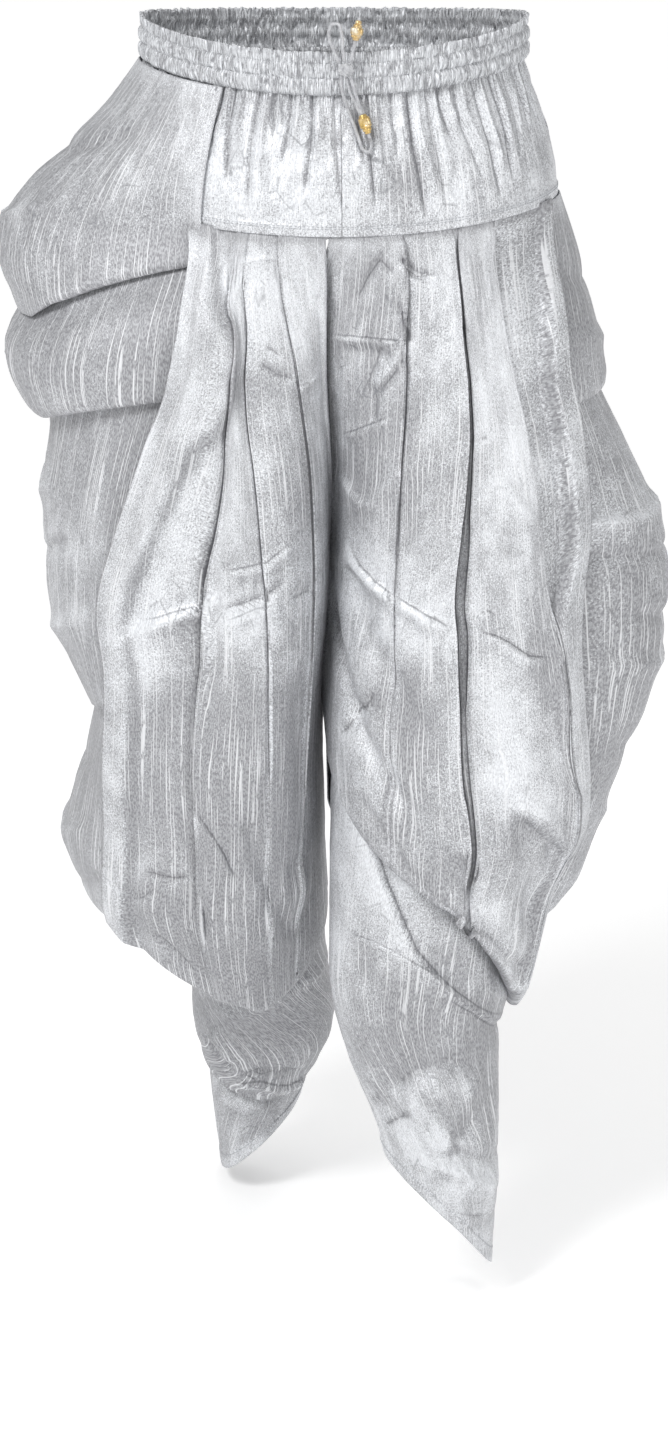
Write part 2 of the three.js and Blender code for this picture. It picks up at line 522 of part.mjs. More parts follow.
// A leg panel: pleated from the yoke, with a free side edge that laps the side panel, and a soft fold at
// its foot that turns in and ends on the lower leg
function makePanel({ name, side, facing, pleats, pleatLines, folds, edgeLine, bottom, rows, perPleat }) {
  const place = (across, down) => {
    const foot = mix(bottom.centre, bottom.side, across) - bottom.sag * 4 * across * (1 - across);
    const rough = mix(HIP.frontLevel, foot, down);
    const a = facing * mix(1 - PANEL.gapFromCentre, read(edgeLine, "a", rough), across);
    return { a, z: mix(hipLevel((Math.PI / 2) * a) - SEAM / 2, foot, down) };
  };
  // Where a pleat crosses a row, found by a few steps, because a row isn't level
  const pleatPlace = (k, down) => {
    if (!pleatLines[k]) return along(pleats[k].at, down);
    let across = 0.5;
    for (let i = 0; i < 5; i += 1) {
      const { z } = place(across, down);
      const edge = read(edgeLine, "a", z);
      across = clamp((1 - read(pleatLines[k], "a", z)) / (1 - edge), 0.03, 0.93);
    }
    return across;
  };
  const length = HIP.frontLevel - (bottom.centre + bottom.side) / 2 + bottom.sag;
  const [reach, ramp] = [COWL.overlap + 0.015, 0.045];
  const grid = range(rows + 1, (i) => {
    const down = i / rows;
    const lines = pleats.map(({ step }, k) => ({ at: pleatPlace(k, down), step: along(step, down) }));
    lines.forEach((line, k) => {
      if (k) line.at = Math.max(line.at, lines[k - 1].at + PANEL.lineGap);
    });
    const stops = [0, ...lines.flatMap(({ at }) => [at - PANEL.lip, at + PANEL.lip]), 1];
    const columns = stops.slice(1).flatMap((stop, k) => {
      const parts = k % 2 ? 1 : perPleat + (k === stops.length - 2 ? 2 : 0);
      return range(parts, (m) => mix(stops[k], stop, m / parts));
    });
    return [...columns, 1].map((across) => {
      const { a, z } = place(across, down);
      const toEdge = Math.abs(a) - read(edgeLine, "a", z);
      const flare = FLARE * (1 - smooth(reach, reach + ramp, toEdge));
      const free = smooth(0, 0.1, across) * smooth(reach, reach + ramp, toEdge);
      const lift = pleatLift(lines, across) - foldDrop(folds, across, down, PANEL.breadth, length);
      return thighPoint(side, a, z, Math.max(lift * free, -14) + flare);
    });
  });
  add(name, clothWall([...grid, ...turnedIn(side, grid[rows])], new THREE.Vector3(side * 100, 0, 0)), FINISHES.cloth);
}

// The rows that turn a panel's foot in under it, until it lies on the lower leg or on the calf wrap
function turnedIn(side, footRow) {
  const off = side > 0 ? LAYER : LAYER * 2.6 + WALL;
  return [{ share: 0.3, dip: 7 }, { share: 0.7, dip: 6 }, { share: 1, dip: -2 }].map(({ share, dip }) =>
    footRow.map((p) => {
      const seat = shinPoint(side, shinTurnOf(side, p), p.z, off);
      return p.clone().lerp(seat, share).setZ(p.z - dip);
    }),
  );
}

// A side panel: cowls that stand out from the leg between its front and back panels, in one piece of cloth
// that folds back up behind each cowl's foot and down again as the next
function makeSidePanel({ name, side, fromBand, cowls }) {
  const footOf = (k, p) => along(cowls[k].foot, (p + 1) / 2);
  const topOf = (k, p) => {
    if (k > 0) return footOf(k - 1, p) + COWL.lap;
    const angle = (Math.PI / 2) * p * (edgeOf(side, p < 0 ? -1 : 1, HIP.sideLevel) + COWL.overlap);
    return (fromBand ? waistTop(angle) - BAND_HEIGHT : hipLevel(angle)) - SEAM;
  };
  const surface = (k, p, z) => {
    const cowl = cowls[k];
    const edge = edgeOf(side, p < 0 ? -1 : 1, z);
    const a = p * (edge + COWL.overlap);
    const tucked = k > 0 ? COWL.under * (1 - smooth(0, 2 * COWL.lap, footOf(k - 1, p) - z)) : 0;
    const seated = k === 0 ? (fromBand ? -0.3 : -1) * (1 - smooth(0, 14, topOf(0, p) - z)) : 0;
    const overYoke = fromBand && k === 0 ? 2.5 * smooth(hipLevel(a) - 6, hipLevel(a) + 10, z) : 0;
    const off = TUCK - tucked + seated + overYoke;
    const hold = (COWL.hold * edge) / (edge + COWL.overlap);
    const swell = Math.cos((clamp(Math.abs(p) / hold, 0, 1) * Math.PI) / 2) ** 0.75;
    const stand = Math.max(read(cowl.reach, "x", z) - Math.abs(thighPoint(side, 0, z, off).x), 0);
    const settled = smooth(0, 40, topOf(k, p) - z);
    return thighPoint(side, a, z, off).add(new THREE.Vector3(side * stand * swell, cowl.swing * swell ** 2 * settled, 0));
  };
  const ps = range(COWL.columns + 1, (j) => -1 + (2 * j) / COWL.columns);
  const grid = [];
  cowls.forEach((cowl, k) => {
    const first = k > 0 ? 2 : 0;
    if (k > 0) {
      grid.push(ps.map((p) => surface(k, p, topOf(k, p) - COWL.turn)));
      grid.push(ps.map((p) => surface(k, p, footOf(k - 1, p) - COWL.turn)));
    }
    for (let i = first ? 1 : 0; i <= cowl.rows; i += 1) {
      const start = (p) => (k > 0 ? footOf(k - 1, p) - COWL.turn : topOf(k, p));
      grid.push(ps.map((p) => surface(k, p, mix(start(p), footOf(k, p) + COWL.turn * 0.3, i / cowl.rows))));
    }
    if (k === cowls.length - 1) return;
    const behind = (p, z) => surface(k + 1, p, z).lerp(surface(k, p, z), 0.27);
    const footRow = ps.map((p) => surface(k, p, footOf(k, p)).lerp(behind(p, footOf(k, p)), 0.5).setZ(footOf(k, p) - COWL.turn));
    const lowRow = ps.map((p) => behind(p, footOf(k, p) + 1));
    const highRow = ps.map((p) => behind(p, footOf(k, p) + COWL.lap - COWL.turn));
    const crownRow = ps.map((p) => {
      const z = footOf(k, p) + COWL.lap - COWL.turn;
      return surface(k + 1, p, z).lerp(surface(k, p, z), 0.135).setZ(footOf(k, p) + COWL.lap);
    });
    grid.push(footRow, lowRow, highRow, crownRow);
  });
  const turned = turnedIn(side, grid[grid.length - 1]).slice(0, 2);
  add(name, clothWall([...grid, ...turned], new THREE.Vector3(side * 80, 20, 0)), FINISHES.cloth);
}

// A lower leg: a tapered tube down to a slanted hem
function makeShin({ name, side, top, hem }) {
  const grid = range(SHIN.rows + 1, (i) =>
    range(SHIN.columns, (j) => {
      const turn = (2 * Math.PI * j) / SHIN.columns;
      const foot = mix(hem.inner, hem.outer, (1 + Math.cos(turn - 0.25 * side)) / 2);
      return shinPoint(side, turn, mix(top, foot, i / SHIN.rows));
    }),
  );
  add(name, clothWall(grid, new THREE.Vector3(side * 80, side > 0 ? -60 : 60, 0), true), FINISHES.cloth);
}

// The wrap round the right calf, on the lower leg
function makeWrap() {
  const { name, top, foot, lift, columns, rows } = WRAP;
  const grid = range(rows + 1, (i) => {
    const down = i / rows;
    const rise = 0.4 + lift * smooth(0.45, 0.8, down) - 0.6 * lift * smooth(0.85, 1, down);
    return range(columns, (j) => {
      const turn = (2 * Math.PI * j) / columns;
      const level = mix(mix(foot.inner, foot.outer, (1 + Math.cos(turn)) / 2), foot.front, Math.max(0, -Math.sin(turn)) ** 2);
      return shinPoint(-1, turn, mix(top, level, down), WALL + LAYER + rise);
    });
  });
  add(name, clothWall(grid, new THREE.Vector3(-75, 80, 0), true), FINISHES.cloth);
}

// A place on the garment's front for the drawstring, out from the cloth
function onFront({ x, z, out }) {
  const bandFront = WAIST.halfDepth + BAND.wall + BAND.puff + BAND.gatherDepth;
  const down = clamp((waistTop(-Math.PI / 2) - BAND_HEIGHT - z) / (-BAND_HEIGHT - HIP.frontLevel), 0, 1);
  const clothFront = Math.abs(yokePoint(-Math.PI / 2, down, YOKE.gatherDepth).y) - 0.0028 * x ** 2;
  return new THREE.Vector3(x, -(Math.max(bandFront, clothFront) + CORD.diameter / 2 + SEAM + out), z);
}

function makeDrawstring() {
  const section = new THREE.Shape(
    range(CORD.sides, (i) => {
      const angle = (2 * Math.PI * i) / CORD.sides;
      return new THREE.Vector2(Math.cos(angle), Math.sin(angle)).multiplyScalar(CORD.diameter / 2);
    }),
  );
  const paths = {};
  for (const { name, route } of CORDS) {
    paths[name] = new THREE.CatmullRomCurve3(route.map(onFront), false, "centripetal");
    const steps = Math.round(paths[name].getLength() / CORD.step);
    add(name, new THREE.ExtrudeGeometry(section, { steps, bevelEnabled: false, extrudePath: paths[name] }), FINISHES.cord);
  }
  const knot = new THREE.SphereGeometry(0.5, 14, 10);
  knot.scale(KNOT.width, KNOT.depth, KNOT.height);
  const centre = onFront(KNOT);
  knot.translate(centre.x, centre.y, centre.z);
  add("knot", knot, FINISHES.cord);
  const last = BEAD_OUTLINE.at(-1);
  const outline = [{ along: 0, radius: BEAD_BORE }, ...BEAD_OUTLINE, { along: last.along, radius: BEAD_BORE }, { along: 0, radius: BEAD_BORE }];
  for (const { name, cord, from } of BEADS) {
    const bead = new THREE.LatheGeometry(outline.map((row) => new THREE.Vector2(row.radius, row.along)), 14);
    const [start, end] = [paths[cord].getPointAt(from), paths[cord].getPointAt(1)];
    const way = end.sub(start).normalize();
    bead.applyQuaternion(new THREE.Quaternion().setFromUnitVectors(new THREE.Vector3(0, 1, 0), way));
    bead.translate(start.x, start.y, start.z);
    add(name, bead, FINISHES.bead);
  }
}

makeWaistband();
makeYoke();
PANELS.forEach(makePanel);
SIDE_PANELS.forEach(makeSidePanel);
SHINS.forEach(makeShin);
makeWrap();
makeDrawstring();

export default dhoti;
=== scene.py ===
"""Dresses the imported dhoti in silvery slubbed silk, as it looks when it is worn in a walking step.

Lengths are worked out in millimetres, in the same tables as the solid model's, and become metres when a
mesh is made. +Z is up, the front faces -Y, and the left leg is at +X.
"""

from __future__ import annotations

import json
import logging
import math
from dataclasses import dataclass, field, replace
from enum import Enum
from typing import Any, Sequence

import bpy
import numpy as np
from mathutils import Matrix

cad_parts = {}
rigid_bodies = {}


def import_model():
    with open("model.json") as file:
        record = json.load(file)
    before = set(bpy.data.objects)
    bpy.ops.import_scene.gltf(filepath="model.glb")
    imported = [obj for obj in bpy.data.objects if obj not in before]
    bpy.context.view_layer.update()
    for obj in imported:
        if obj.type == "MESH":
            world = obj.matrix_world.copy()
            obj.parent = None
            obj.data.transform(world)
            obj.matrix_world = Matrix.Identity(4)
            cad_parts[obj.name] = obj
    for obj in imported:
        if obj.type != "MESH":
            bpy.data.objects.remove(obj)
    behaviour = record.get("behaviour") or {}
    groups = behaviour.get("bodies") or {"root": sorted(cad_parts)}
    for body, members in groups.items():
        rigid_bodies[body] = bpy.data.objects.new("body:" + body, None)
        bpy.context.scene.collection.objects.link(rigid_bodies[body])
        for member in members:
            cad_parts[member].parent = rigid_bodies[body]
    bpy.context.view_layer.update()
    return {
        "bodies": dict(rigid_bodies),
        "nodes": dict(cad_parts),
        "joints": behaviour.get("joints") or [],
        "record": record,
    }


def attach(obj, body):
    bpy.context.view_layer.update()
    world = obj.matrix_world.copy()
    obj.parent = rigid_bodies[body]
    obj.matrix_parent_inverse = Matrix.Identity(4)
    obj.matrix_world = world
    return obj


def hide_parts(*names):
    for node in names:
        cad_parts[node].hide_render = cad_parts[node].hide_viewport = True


LOG = logging.getLogger("dhoti")
METRES = 0.001  # metres in a millimetre
CLOTH = 0.9  # thickness of a cloth wall
BAND_HEIGHT = 32.0
WAIST_WIDE, WAIST_DEEP = 146.0, 107.0  # half the hip's width and depth under the band
HIP_WIDE, HIP_DEEP = 174.0, 130.0  # and at the yoke's lower seam
SEAM = 0.35  # gap between pieces that meet edge to edge
LAYER = 1.3  # step from one layer of cloth to the next
SOLID_WALL = 2.0  # thickness of the solid model's cloth
FLARE = 12.0  # how far a leg panel's side edge stands off the leg
TUCK = 3.0  # how far a side panel stands off the leg
CROTCH = -430.0  # level where the legs part
FRONT_SEAM_LEVEL = -134.0  # the yoke's lower seam at the middle of the front
CENTRE_FRONT = 6.0  # how far that middle lies to the left
LEVELS = (-134, -200, -250, -300, -370, -430, -480, -560, -640, -740)  # where a pleat's line is given
LATTICE = 64  # squares of random numbers before they repeat
FAR = 9.0  # a distance from a painted shadow line at which the line doesn't show
PAINTED_LIGHT_WAY = np.array((-0.45, -0.25, 0.85))  # cloth that turns this way is painted lighter, as if lit from there, and cloth that turns away is painted darker


class Side(Enum):
    """A side of the garment, as the sign of X there."""

    RIGHT = -1
    LEFT = 1


class Facing(Enum):
    """Which way a panel faces, as the sign of Y there."""

    FRONT = -1
    BACK = 1


def mix(low: Any, high: Any, share: Any) -> Any:
    """The value a share of the way from low to high."""
    return low + (high - low) * share


def smooth(low: float, high: float, value: Any) -> Any:
    """0 below low, 1 above high, and a smooth step, 3t^2 - 2t^3, between them."""
    t = np.clip((value - low) / (high - low), 0.0, 1.0)
    return t * t * (3.0 - 2.0 * t)


def bulge(value: Any, power: Any) -> Any:
    """A superellipse's share of its half width, where value is an angle's cosine or sine."""
    return np.sign(value) * np.abs(value) ** (2.0 / power)


def lattice_noise(u: np.ndarray, v: np.ndarray, seed: int) -> np.ndarray:
    """Smooth noise from 0 to 1: random numbers on a square lattice of step 1, blended by smooth steps.

    Args:
        u, v: places on the lattice.
        seed: picks the random numbers.

    Returns:
        The noise at each place.
    """
    values = np.random.default_rng(seed).random((LATTICE, LATTICE))
    iu, iv = np.floor(u).astype(int), np.floor(v).astype(int)
    fu, fv = smooth(0.0, 1.0, u - iu), smooth(0.0, 1.0, v - iv)
    ju, jv, ku, kv = iu % LATTICE, iv % LATTICE, (iu + 1) % LATTICE, (iv + 1) % LATTICE
    return mix(mix(values[ju, jv], values[ku, jv], fu), mix(values[ju, kv], values[ku, kv], fu), fv)


def facets(u: np.ndarray, v: np.ndarray, seed: int) -> np.ndarray:
    """Facets that meet in straight sharp ridges: the distance to the nearest of some scattered points.

    Args:
        u, v: places on a lattice with one point in each square.
        seed: picks the points.

    Returns:
        The distance at each place.
    """
    scatter = np.random.default_rng(seed).random((2, LATTICE, LATTICE))
    iu, iv = np.floor(u).astype(int), np.floor(v).astype(int)
    near = np.full(u.shape, 9.0)
    for du in (-1, 0, 1):
        for dv in (-1, 0, 1):
            ju, jv = iu + du, iv + dv
            at_u, at_v = scatter[:, ju % LATTICE, jv % LATTICE]
            near = np.minimum(near, np.hypot(ju + at_u - u, jv + at_v - v))
    return near


def crumpled(u: np.ndarray, v: np.ndarray, seed: int) -> np.ndarray:
    """Crinkles of pressed silk: facets in two sizes, a little longer down the cloth than across it.

    Args:
        u, v: places on the flat cloth, in millimetres.
        seed: picks the crinkles.

    Returns:
        The rise at each place, from about -0.5 to 0.6.
    """
    warp_u = u / 19.0 + 0.5 * lattice_noise(u / 23.0, v / 23.0, seed + 1)
    warp_v = v / 31.0 + 0.5 * lattice_noise(u / 25.0 + 9.0, v / 25.0, seed + 2)
    large = facets(warp_u, warp_v, seed + 3)
    small = facets(2.1 * warp_u + 0.7 * warp_v, 2.3 * warp_v, seed + 4)
    return 1.1 * (large - 0.42) + 0.6 * (small - 0.42)


class Profile:
    """A size that changes with height, on a smooth curve through its rows."""

    def __init__(self, heights: Sequence[float], values: Sequence[float]) -> None:
        """Keeps the rows, and the slope at each from its neighbours.

        Args:
            heights: from the highest to the lowest.
            values: the size at each.
        """
        self.heights = np.array(heights, float)
        self.values = np.array(values, float)
        row = np.arange(len(self.heights))
        above, below = np.maximum(row - 1, 0), np.minimum(row + 1, len(row) - 1)
        rise = self.heights[below] - self.heights[above]
        self.slopes = (self.values[below] - self.values[above]) / rise

    def at(self, z: Any) -> np.ndarray:
        """The size at each height z, by cubic Hermite pieces.

        Args:
            z: the heights.

        Returns:
            The size at each.
        """
        level = np.clip(z, self.heights[-1], self.heights[0])
        last = len(self.heights) - 2
        i = np.clip(np.searchsorted(-self.heights, -level, side="right") - 1, 0, last)
        span = self.heights[i + 1] - self.heights[i]
        t = (level - self.heights[i]) / span
        return (
            (2 * t**3 - 3 * t**2 + 1) * self.values[i]
            + (t**3 - 2 * t**2 + t) * self.slopes[i] * span
            + (3 * t**2 - 2 * t**3) * self.values[i + 1]
            + (t**3 - t**2) * self.slopes[i + 1] * span
        )


class LegForm:
    """A leg's form: superellipses whose sides are distances from the middle of the garment."""

    def __init__(self, rows: Sequence[tuple[float, ...]]) -> None:
        """Takes rows of height, inner, outer, front, back and the superellipse's power."""
        heights, *sizes = zip(*rows)
        self.profiles = tuple(Profile(heights, size) for size in sizes)

    def sides(self, z: Any) -> tuple[np.ndarray, ...]:
        """inner, outer, front, back and power at height z."""
        return tuple(profile.at(z) for profile in self.profiles)


THIGHS = {
    Side.LEFT: LegForm((
        (-110, 0.4, 175, -131, 129, 2.3), (-200, 0.4, 184, -137, 138, 2.4),
        (-300, 0.4, 193, -143, 140, 2.4), (-400, 0.4, 200, -149, 124, 2.4),
        (-500, 1.5, 204, -157, 100, 2.4), (-600, 2, 196, -167, 70, 2.4),
        (-655, 2, 168, -173, 52, 2.3), (-720, 3, 150, -180, 28, 2.2), (-800, 8, 126, -188, 2, 2.2),
    )),
    Side.RIGHT: LegForm((
        (-110, 0.4, 172, -131, 129, 2.5), (-200, 0.4, 184, -139, 138, 2.9),
        (-300, 0.4, 192, -144, 144, 3.1), (-400, 0.4, 196, -144, 144, 3.1),
        (-500, 1.5, 194, -137, 141, 2.9), (-600, 2, 194, -119, 143, 2.7),
        (-680, 2, 192, -92, 149, 2.6), (-740, 3, 176, -62, 157, 2.5), (-810, 6, 158, -28, 164, 2.4),
    )),
}
SHINS = {
    Side.LEFT: LegForm((
        (-500, 16, 140, -116, 48, 2.1), (-600, 12, 140, -142, 30, 2.1), (-700, 6, 138, -162, 6, 2.1),
        (-760, 4, 134, -171, -12, 2.1), (-800, 14, 132, -177, -32, 2.1), (-850, 35, 132, -184, -54, 2.1),
        (-900, 46, 131, -190, -70, 2.1), (-975, 56, 125, -194, -84, 2.1),
    )),
    Side.RIGHT: LegForm((
        (-600, 16, 145, -52, 102, 2.1), (-700, 12, 139, -28, 128, 2.1), (-760, 10, 124, -6, 142, 2.1),
        (-800, 9, 113, 12, 148, 2.1), (-850, 14, 108, 30, 154, 2.1), (-900, 27, 106, 46, 160, 2.1),
        (-980, 46, 97, 58, 164, 2.1),
    )),
}
MIDLINE = Profile((-134, -240, -330, -420, -520, -620, -720, -800), (-5, -6, -2, -3, -8, -7, -2, 0))


def turns_round(count: int) -> np.ndarray:
    """A row of angles all the way round, in a count of equal steps from 0."""
    return np.arange(count)[None, :] * 2 * math.pi / count


def stacked(x: Any, y: Any, z: Any) -> np.ndarray:
    """Points from their three coordinates, which may be arrays or single numbers."""
    return np.stack(np.broadcast_arrays(x, y, z), axis=-1).astype(float)


def level_at(angle: Any, side: float, front: float, back: float) -> Any:
    """A level round the garment, which goes smoothly from its sides to its front and back.

    Args:
        angle: the angle round the garment, -pi/2 in front.
        side, front, back: the level there.

    Returns:
        The level at each angle, by the angle's sine to the power 1.6.
    """
    to_front = np.maximum(0.0, -np.sin(angle)) ** 1.6
    to_back = np.maximum(0.0, np.sin(angle)) ** 1.6
    return side + (front - side) * to_front + (back - side) * to_back


def waist_top(angle: Any) -> Any:
    """The height of the waistband's top edge at an angle round the garment."""
    return level_at(angle, 19.0, 0.5, 13.0)


def hip_level(angle: Any) -> Any:
    """The height of the yoke's lower seam at an angle round the garment."""
    return level_at(angle, -117.0, FRONT_SEAM_LEVEL, -124.0)


def yoke_point(angle: Any, down: Any, off: Any = 0.0) -> np.ndarray:
    """A point of the hip's form: an ellipse that widens with the sine of its share of the way down.

    Args:
        angle: the angle round the garment.
        down: the share of the way from the band to the yoke's lower seam.
        off: how far the point stands out from the form.

    Returns:
        The points, one for each place.
    """
    widen = np.sin(np.clip(down, 0.0, 1.0) * math.pi / 2) ** 1.15
    z = mix(waist_top(angle) - BAND_HEIGHT, hip_level(angle), down)
    half_width, half_depth = mix(WAIST_WIDE, HIP_WIDE, widen) + off, mix(WAIST_DEEP, HIP_DEEP, widen) + off
    return stacked(half_width * np.cos(angle), half_depth * np.sin(angle), z)


def placed(side: Side, x: Any, y: Any, z: Any) -> np.ndarray:
    """A point x outwards on its side, moved sideways with the fold between the legs, less so further out."""
    shift = MIDLINE.at(z) * (1.0 - smooth(0.0, 90.0, x))
    return stacked(side.value * x + shift, y, z)


def thigh_point(side: Side, a: Any, z: Any, off: Any = 0.0) -> np.ndarray:
    """A point of a leg's upper form, which runs into the hip's form above the yoke seam.

    Args:
        side: which leg.
        a: the place round it, from -1 at the front centre seam past 0 at the side to 1 at the back seam.
        z: the height.
        off: how far the point stands out from the form.

    Returns:
        The points, one for each place.
    """
    a, z, off = (np.asarray(value, float) for value in np.broadcast_arrays(a, z, off))
    angle = math.pi / 2 * a
    seam = hip_level(angle)
    top = waist_top(angle) - BAND_HEIGHT
    hip = yoke_point(angle, np.clip((top - z) / (top - seam), 0.0, 1.0), off)
    hip = stacked(side.value * hip[..., 0], hip[..., 1], z)
    inner, outer, front, back, power = THIGHS[side].sides(z)
    seam_turn = mix(0.62 * math.pi, math.pi, smooth(FRONT_SEAM_LEVEL, CROTCH, z) ** 0.8)
    half_width = (outer - inner) / 2
    seam_x = inner + half_width * (1.0 + bulge(np.cos(seam_turn), power))
    drawn_in = (seam_x - inner) * smooth(0.55, 1.0, np.abs(a))
    ring_x = inner + half_width + (half_width + off) * bulge(np.cos(a * seam_turn), power) - drawn_in
    ring_y = (front + back) / 2 + ((back - front) / 2 + off) * bulge(np.sin(a * seam_turn), power)
    blend = smooth(0.0, 95.0, seam - z)
    x = mix((HIP_WIDE + off) * np.cos(angle), np.maximum(ring_x, inner), blend)
    leg = placed(side, np.maximum(x, SEAM / 2), mix((HIP_DEEP + off) * np.sin(angle), ring_y, blend), z)
    return np.where((z > seam)[..., None], hip, leg)


def shin_point(side: Side, turn: Any, z: Any, off: Any = 0.0) -> np.ndarray:
    """A point of a lower leg's superellipse.

    Args:
        side: which leg.
        turn: the angle round it, 0 at its outer side and -pi/2 in front.
        z: the height.
        off: how far the point stands out from the form.

    Returns:
        The points, one for each place.
    """
    inner, outer, front, back, power = SHINS[side].sides(z)
    x = (inner + outer) / 2 + ((outer - inner) / 2 + off) * bulge(np.cos(turn), power)
    return placed(side, x, (front + back) / 2 + ((back - front) / 2 + off) * bulge(np.sin(turn), power), z)


def shin_turn_of(side: Side, points: np.ndarray) -> np.ndarray:
    """The turn round the lower leg at which each point lies.

    Args:
        side: which leg.
        points: the points.

    Returns:
        The turn of each, by its arc tangent in a leg made round.
    """
    inner, outer, front, back, _ = SHINS[side].sides(points[..., 2])
    rise = (points[..., 1] - (front + back) / 2) / (back - front)
    run = (side.value * points[..., 0] - (inner + outer) / 2) / (outer - inner)
    return np.arctan2(rise, run)


def front_places(side: Side, xs: Sequence[float]) -> Profile:
    """A line down a leg's front, found by bisection.

    Args:
        side: which leg.
        xs: how far out from the middle the line lies at each of LEVELS.

    Returns:
        The line, as places round the leg.
    """
    z = np.array(LEVELS, float)
    low, high = np.full(len(z), -1.0), np.full(len(z), -0.02)
    for _ in range(30):
        middle = (low + high) / 2
        inside = side.value * thigh_point(side, middle, z)[..., 0] < np.array(xs, float)
        low, high = np.where(inside, middle, low), np.where(inside, high, middle)
    return Profile(LEVELS, np.abs(low))


@dataclass(frozen=True)
class Crease:
    """A soft ridge or trough along a line, in a panel's own two coordinates, which can carry a painted shadow
    line along it.

    path holds the line's places. height is how far it stands out, below 0 for a trough. width is its reach,
    and steep its reach on the line's left-hand side, where the two differ.
    """

    path: tuple[tuple[float, float], ...]
    width: float
    height: float
    steep: float = 0.0

    def press(self, u: np.ndarray, v: np.ndarray) -> tuple[np.ndarray, np.ndarray, np.ndarray]:
        """What the crease does at each place of the cloth.

        Args:
            u, v: the places.

        Returns:
            The rise, height times exp(-(distance / width)^1.45) and less near both ends; the distance from
            the crease's painted shadow line, below 0 on its right-hand side; and how dark that painted shadow
            is.
        """
        knots = np.array(self.path, float)
        starts, ways = knots[:-1], np.diff(knots, axis=0)
        lengths = np.hypot(ways[:, 0], ways[:, 1])
        before = np.concatenate([[0.0], np.cumsum(lengths)])
        best = np.full(u.shape, np.inf)
        side, place = np.zeros(u.shape), np.zeros(u.shape)
        for (su, sv), (wu, wv), length, passed in zip(starts, ways, lengths, before):
            t = np.clip(((u - su) * wu + (v - sv) * wv) / length**2, 0.0, 1.0)
            du, dv = u - su - t * wu, v - sv - t * wv
            gap = np.hypot(du, dv)
            nearer = gap < best
            best = np.where(nearer, gap, best)
            side = np.where(nearer, wu * dv - wv * du, side)
            place = np.where(nearer, passed + t * length, place)
        reach = np.where(side > 0.0, self.steep or self.width, self.width)
        share = place / before[-1]
        ends = smooth(-0.04, 0.2, share) * smooth(1.04, 0.8, share)
        signed = np.where(side > 0.0, best, -best) - (1.2 * self.steep if self.height > 0.0 else 0.0)
        # how dark the painted shadow line along the crease is, only where a side is steep or the crease narrow
        dark = 0.62 * ends * min(1.0, abs(self.height) / 3.0) * (0.0 < self.steep <= 3.0 or self.width <= 4.5)
        return self.height * ends * np.exp(-((best / reach) ** 1.45)), signed, dark


@dataclass(frozen=True)
class Patch:
    """A soft oval, in a panel's own two coordinates, where a value is raised by amount."""

    u: float
    v: float
    reach_u: float
    reach_v: float
    amount: float

    def at(self, u: np.ndarray, v: np.ndarray) -> np.ndarray:
        """amount times exp(-(distance in ovals)^2)."""
        across, down = (u - self.u) / self.reach_u, (v - self.v) / self.reach_v
        return self.amount * np.exp(-(across**2) - down**2)

    def shifted(self, across: float, down: float, strength: float) -> Patch:
        """The same oval moved along, with its amount multiplied by strength."""
        return replace(self, u=self.u * across, v=self.v + down, amount=self.amount * strength)


@dataclass(frozen=True)
class Drape:
    """The creases of a panel, where it is crumpled, and the light and shade painted on it."""

    creases: tuple[Crease, ...] = ()
    crumples: tuple[Patch, ...] = ()
    lights: tuple[Patch, ...] = ()
    crumple: float = 0.12
    light: float = 0.0

    def shifted(self, across: float, down: float, strength: float) -> Drape:
        """The same drape moved along and made weaker, for a side that a front view doesn't show.

        Args:
            across: what places across are multiplied by.
            down: what is added to heights.
            strength: what the creases' heights are multiplied by.

        Returns:
            The new drape.
        """
        creases = tuple(
            replace(
                crease, path=tuple((u * across, v + down) for u, v in crease.path),
                width=crease.width * 1.1, height=crease.height * strength,
            )
            for crease in self.creases
        )
        crumples = tuple(patch.shifted(across, down, 0.8) for patch in self.crumples)
        lights = tuple(patch.shifted(across, down, 1.0) for patch in self.lights)
        return replace(self, creases=creases, crumples=crumples, lights=lights)


def creases(*rows: tuple[float, ...]) -> tuple[Crease, ...]:
    """Creases from rows of width, height and steep, then the path's places one after another."""
    return tuple(Crease(tuple(zip(row[3::2], row[4::2])), *row[:3]) for row in rows)


def patches(*rows: tuple[float, float, float, float, float]) -> tuple[Patch, ...]:
    """Patches from rows of their five values."""
    return tuple(Patch(*row) for row in rows)


